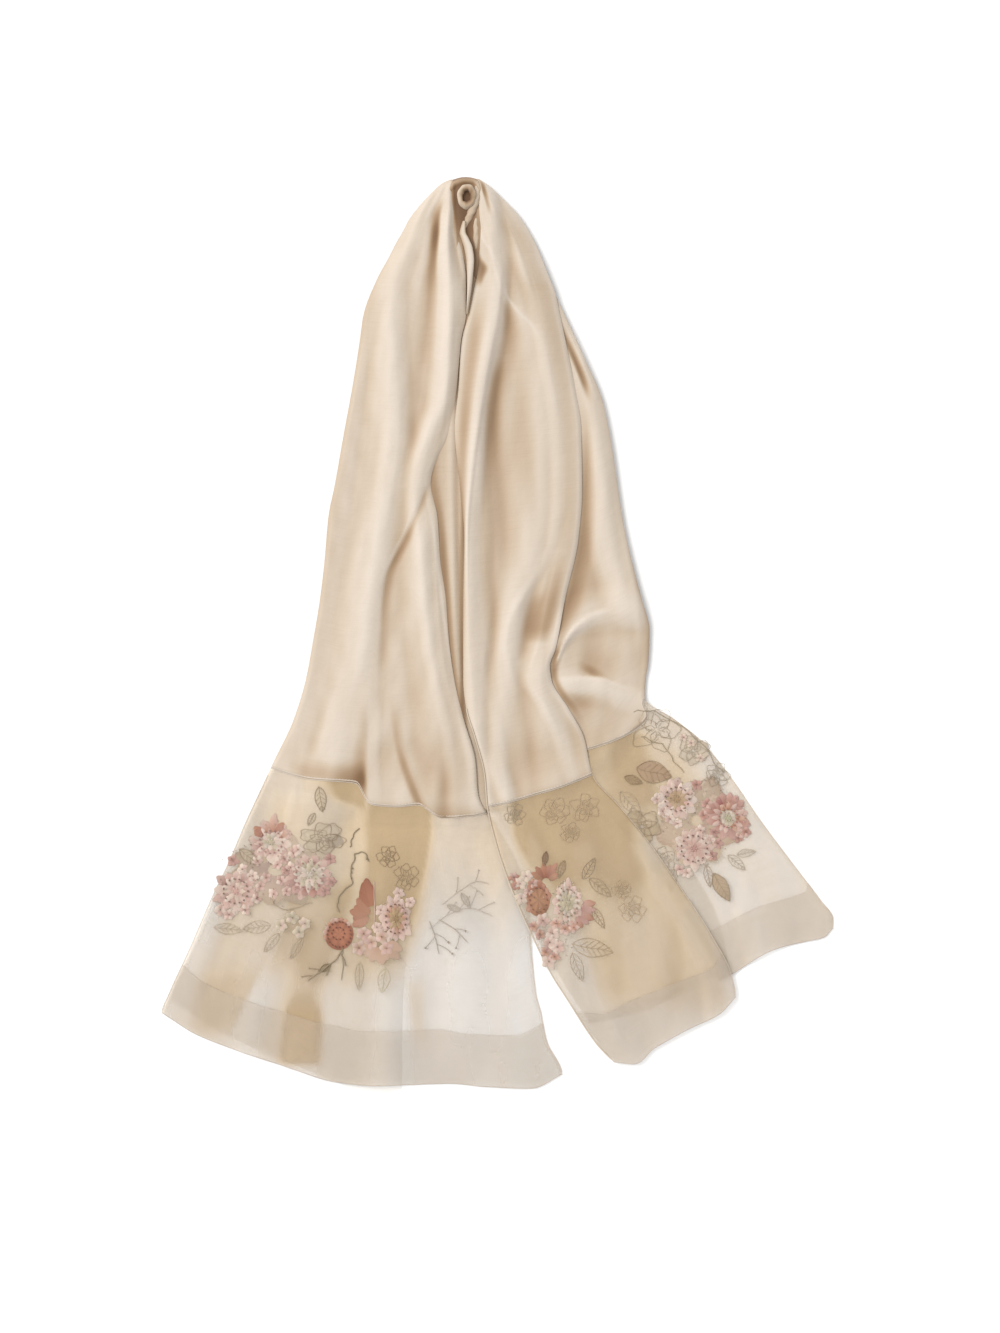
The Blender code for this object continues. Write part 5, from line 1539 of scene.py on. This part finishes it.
def seam(name, shape, columns):
    """The folded seam allowance: a low rounded band along the silk's end, wrapped down over its edge."""
    side_left, side_right, ends, face = shape
    share = side_spacing(columns)[None, :]
    across_band = np.linspace(0, 1, 9)[:, None]
    down = read(ends, "seam", share) + SEAM_LAP - SEAM_WIDTH * across_band
    left, right = side_left(down), side_right(down)
    across = left + (right - left) * share
    lift = SILK_WALL + SEAM_RISE - SEAM_ROUNDING * np.clip(1 - across_band / 0.8, 0, 1) ** 2
    lift = lift - SEAM_WRAP * np.clip((across_band - 0.7) / 0.3, 0, 1) ** 2
    height = face(across, down) + lift - edge_roll(across, down, side_left, side_right)
    flat = flat_places(share * 0.3, across_band * SEAM_WIDTH)
    piece = cloth(name, across[::-1], down[::-1], flat[::-1], np.maximum(height[::-1], SEAM_FLOOR), SILK,
                  SEAM_THICKNESS, np.full(across.shape, SEAM_PAINTED_SHADE))
    return piece


def row_of_stitches(across, down, length, size, colour, lift):
    """Short stitches set end to end along a row of places in metres."""
    step = np.concatenate([[0], np.cumsum(np.hypot(np.diff(across), np.diff(down)))])
    at = np.arange(length, step[-1], length * 1.5)
    x, y = np.interp(at, step, across), np.interp(at, step, down)
    turn = np.arctan2(np.gradient(y), np.gradient(x))
    return knots(np.stack([x, y], -1) / MM, size, colour, lift, long=length / (2 * size * MM), turn=turn)


def finishing(name, made, shape, edges):
    """Hem stitches, seam stitches and whipped edges of one stretch, as one piece of thread work.

    Each edge is its side, where it starts and ends down the stretch, and its thread's radius.
    """
    left, right, _, face = shape
    hem_top = made["hem"][0][0], made["hem"][1][0]
    silk_end = made["silk"][0][-1], made["silk"][1][-1] - STITCH_INSET
    foot = np.stack([made["organza"][0][-1], made["organza"][1][-1]]) / MM
    work = [row_of_stitches(*hem_top, *HEM_STITCH, HEM_THREAD, (SEAM_GAP + 0.5 * HEM_WALL) / MM),
            row_of_stitches(*silk_end, *SEAM_STITCH, SEAM_THREAD, 0.85),
            tubes(foot[0][None], foot[1][None], 0.35, FOOT_THREAD, -0.1)]
    for side, start, end, radius in edges:
        at = np.arange(start, end, 3.0) * MM
        edge = left(at) + EDGE_INSET if side == "left" else right(at) - EDGE_INSET
        work.append(tubes(edge[None] / MM, at[None] / MM, radius, EDGE_THREAD, -radius))
    return stitchwork(name, work, on_organza(face))


seam_left = seam("seam_left", LEFT_SHAPE, columns=110)
seam_right = seam("seam_right", RIGHT_SHAPE, columns=90)
seam_outer = seam("seam_outer", OUTER_SHAPE, columns=60)
trim_left = finishing("stitches_left", left, LEFT_SHAPE, (("left", 630, 880, 0.3), ("right", 672, 944, 0.3)))
trim_right = finishing("stitches_right", right, RIGHT_SHAPE,
                       (("left", 560, 930, 0.7), ("right", 632, 862, 0.3)))
trim_outer = finishing("stitches_outer", outer, OUTER_SHAPE, (("right", 552, 790, 0.3),))


# ---- the pinch
# At the fold the panel is gathered to a point.  Its rolled end shows as a small oval ring with an eye
# darkened by painted shade, a band crosses below it, and a twisted strand runs down from there between the
# halves.
RING_ACROSS, RING_DOWN, RING_LIFT = -32.5 * MM, 22 * MM, 15.05 * MM
RING_RADIUS = 7.0 * MM
RING_LENGTHEN = 1.35
ROLL_WIDTH, ROLL_HEIGHT = 2.8 * MM, 3.8 * MM
STRAND = table("down across radius", (48, -35, 2.6), (60, -36.5, 3.6), (67, -34, 4.2), (77, -30.5, 4.6),
               (92, -28.5, 4.4), (112, -29, 3.6), (146, -32, 1.6))
STRAND_TWIST = np.radians(120)


def pinch_roll(around=96, section=36):
    """The rolled end of the gather: an oval ring whose section winds in on itself."""
    turn = np.linspace(0, 2 * np.pi, around, endpoint=False)[:, None]
    tilt = np.linspace(0, 2 * np.pi, section, endpoint=False)[None, :]
    wind = 0.30 * MM * np.sin(3 * tilt + 2 * turn) + 0.22 * MM * np.sin(7 * turn + tilt)
    reach = RING_RADIUS + (ROLL_WIDTH + wind) * np.cos(tilt) * (1 + 0.08 * np.sin(3 * turn))
    across = RING_ACROSS + reach * np.cos(turn)
    down = RING_DOWN - reach * np.sin(turn) * RING_LENGTHEN
    height = RING_LIFT + (ROLL_HEIGHT + wind) * np.sin(tilt) + 0 * turn
    index = np.arange(around * section).reshape(around, section)
    ahead, above = np.roll(index, -1, 0), np.roll(index, -1, 1)
    faces = np.stack([index, ahead, np.roll(ahead, -1, 1), above], -1).reshape(-1, 4)
    # painted shade, deeper on the inside, the underside and the right of the ring, lighter on its outside and
    # top
    painted_inner_shade = np.clip(1.15 - 0.45 * np.cos(tilt) - 0.25 * np.sin(tilt) + 0.2 * np.cos(turn), 0, 2)
    return lay("pinch_roll", place(across, down, height), faces, flat_places(tilt * 4 * MM, turn * 6 * MM),
               hollow=painted_inner_shade)


def twisted(name, path, twist, stations=90, section=24):
    """A twisted strand with an oval, lobed section that turns as it goes."""
    along = np.linspace(0, 1, stations)[:, None]
    down = path["down"][0] + (path["down"][-1] - path["down"][0]) * along
    turn = np.linspace(0, 2 * np.pi, section, endpoint=False)[None, :]
    radius = read(path, "radius", down) * np.sin(np.pi * (0.02 + 0.96 * along)) ** 0.25
    radius = radius * (1 + 0.14 * np.cos(2 * turn + 5 * along))
    flat, thick = radius * np.cos(turn), 0.7 * radius * np.sin(turn)
    spin = along * twist
    middle = read(path, "across", down)
    across = middle + flat * np.cos(spin) - thick * np.sin(spin)
    lift = hidden_top(middle, down) + SILK_WALL + 1.5 * LAY_GAP + read(path, "radius", down)
    height = lift + flat * np.sin(spin) + thick * np.cos(spin)
    index = np.arange(stations * section).reshape(stations, section)
    start, after = index[:-1], np.roll(index, -1, 1)[:-1]
    skin = np.stack([start, after, np.roll(index, -1, 1)[1:], index[1:]], -1).reshape(-1, 4)
    half_way = section // 2
    low = np.arange(half_way - 1)
    cap = np.stack([low, low + 1, section - 2 - low, section - 1 - low], -1)
    faces = np.concatenate([skin, cap[:, ::-1], cap + index[-1, 0]])
    # painted shade, lighter where the surface stands high and deeper below
    shade = 0.8 - 0.5 * (height - lift) / (2 * MM) + 0.2 * np.sin(3 * turn + 9 * along)
    return lay(name, place(across, down + 0 * turn, height), faces, flat_places(turn * 3 * MM, along * 0.09),
               hollow=np.clip(shade, 0, 2))


def gather(*rows):
    """A small roll of gathered silk: its path, its radius and its depth of painted shade at each step along
    it.
    """
    return table("step across down lift radius tone", *rows)


GATHER_ROLLS = (
    # the band that crosses below the ring to the strand
    gather((0, -21.5, 5, 9, 3, 0.9), (1, -21.5, 16, 11.5, 4.2, 0.85), (2, -23, 26, 13.5, 4.4, 0.85),
           (3, -26.5, 36, 14, 4.2, 0.95), (4, -31, 46, 14, 3.8, 1.05), (5, -35, 55, 14, 3.4, 1),
           (6, -37.5, 63, 14, 2.6, 0.9)),
    # small gathers beside the eye and below it, in deeper painted shade
    gather((0, -43, 26, 10, 1.8, 1.3), (1, -42, 42, 12.5, 2.6, 1.25), (2, -42, 56, 14, 2.8, 1.05),
           (3, -41, 72, 14.5, 2.6, 0.85), (4, -40, 94, 14, 1.8, 0.8)),
    gather((0, -34, 34, 11, 1.8, 1.7), (1, -35, 42, 12, 2.4, 1.6), (2, -37, 52, 13, 2, 1.4)),
    gather((0, -22, 36, 12, 2, 0.85), (1, -22.5, 50, 14, 3, 0.9), (2, -22.5, 66, 15, 3.2, 0.95),
           (3, -21.5, 82, 15, 2.4, 1.1)),
)


def gathers(name, rolls, stations=48, section=14):
    """Small rolls of gathered silk along smooth paths, as closed tapered tubes with a lobed section."""
    points, faces, flats, tones = [], [], [], []
    index = np.arange(stations * section).reshape(stations, section)
    start, after = index[:-1], np.roll(index, -1, 1)[:-1]
    skin = np.stack([start, index[1:], np.roll(index, -1, 1)[1:], after], -1).reshape(-1, 4)
    turn = np.linspace(0, 2 * np.pi, section, endpoint=False)[None, :]
    for number, path in enumerate(rolls):
        at = np.linspace(0, path["step"][-1], stations)[:, None]
        across, down, lift, radius, shade = [read(path, part, at) for part in list(path)[1:]]
        ends = np.sin(np.pi * np.linspace(0.02, 0.98, stations)[:, None]) ** 0.3
        radius = radius * ends * (1 + 0.10 * np.sin(3 * turn + 8 * at + number))
        run = np.hypot(np.gradient(across, axis=0), np.gradient(down, axis=0))
        aside = radius * np.cos(turn)
        points.append(place(across - np.gradient(down, axis=0) / run * aside,
                            down + np.gradient(across, axis=0) / run * aside,
                            lift + 0.7 * radius * np.sin(turn)).reshape(-1, 3))
        faces.append(skin + number * index.size)
        flats.append(flat_places(turn * 2 * MM, at * 8 * MM).reshape(-1, 2))
        # painted shade, lighter on the top of each roll and deeper on its underside
        tones.append((shade - 0.35 * np.sin(turn)).ravel())
    return lay(name, np.concatenate(points), np.concatenate(faces), np.concatenate(flats),
               hollow=np.clip(np.concatenate(tones), 0, 2))


GATHER_BED_FOLDS = (
    crease((2, -47, 4, 3, 1), (20, -47, 4, 3, 2.5), (60, -44, 4, 3, 2), (110, -40, 4, 3, 0.8)),
    crease((2, -20, 3, 5, 1), (30, -19, 4, 5, 2), (70, -22, 4, 5, 1.2), (110, -22, 4, 5, 0.5)),
    crease((60, -38, 2, 2, 0), (80, -37, 2, 2, 1.2), (110, -35, 2, 2, 0.8), (140, -35, 2, 2, 0)),
)
GATHER_ARCH = crossing((-52, 18, 5, 7, 1), (-48, 10, 5, 7, 2.5), (-43, 6, 5, 6, 3.2), (-34, 4, 5, 5, 3.4),
                       (-26, 4, 5, 5, 3.4), (-21, 8, 5, 7, 2.5), (-16, 16, 5, 7, 1))
GATHER_BED_SHADE = crease((1, -34, 34, 26, 0.7), (8, -36, 30, 24, 0.9), (24, -36, 28, 24, 1.2),
                          (44, -34, 24, 22, 1.2), (66, -30, 22, 20, 0.8), (84, -26, 20, 20, 0.7),
                          (110, -24, 18, 18, 0.7), (130, -26, 18, 18, 0.3), (150, -30, 9, 9, 0))
BED_LEFT, BED_RIGHT, BED_FOOT = -52 * MM, -15 * MM, 150 * MM
BED_FULLNESS = 2.4 * MM


def gather_bed():
    """The gathered cloth around the ring and the strand, as a sheet between the two halves."""
    def top(share):
        """The arched top of the pinch."""
        return 0.3 * MM + PINCH_ARCH * (2 * share - 1) ** 2

    across, down, flat = grid(level(BED_LEFT), level(BED_RIGHT), top, level(BED_FOOT), 48, 110)
    full = BED_FULLNESS * (1 - starting(down, 70 * MM, length=70 * MM))
    full = full * starting(down, -8 * MM, length=16 * MM)
    height = (hidden_top(across, down) + LAY_GAP + full + creases(GATHER_BED_FOLDS, across, down)
              + ridges([GATHER_ARCH], across, down) + unevenness(across, down, seed=41, size=0.5 * MM))
    # painted shade over the gathered cloth, darkest round the ring and its eye
    shade = hollow(height, (3, 3)) + 0.3 + ridges([GATHER_BED_SHADE], across, down) / MM
    return cloth("pinch_gathered_cloth", across, down, flat, height, SILK, shade=np.clip(shade, 0, 2))


bed = gather_bed()
roll = pinch_roll()
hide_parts("pinch_ring")
strand = twisted("pinch_twist", STRAND, STRAND_TWIST)
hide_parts("pinch_strand")
gathered = gathers("pinch_gathers", GATHER_ROLLS)
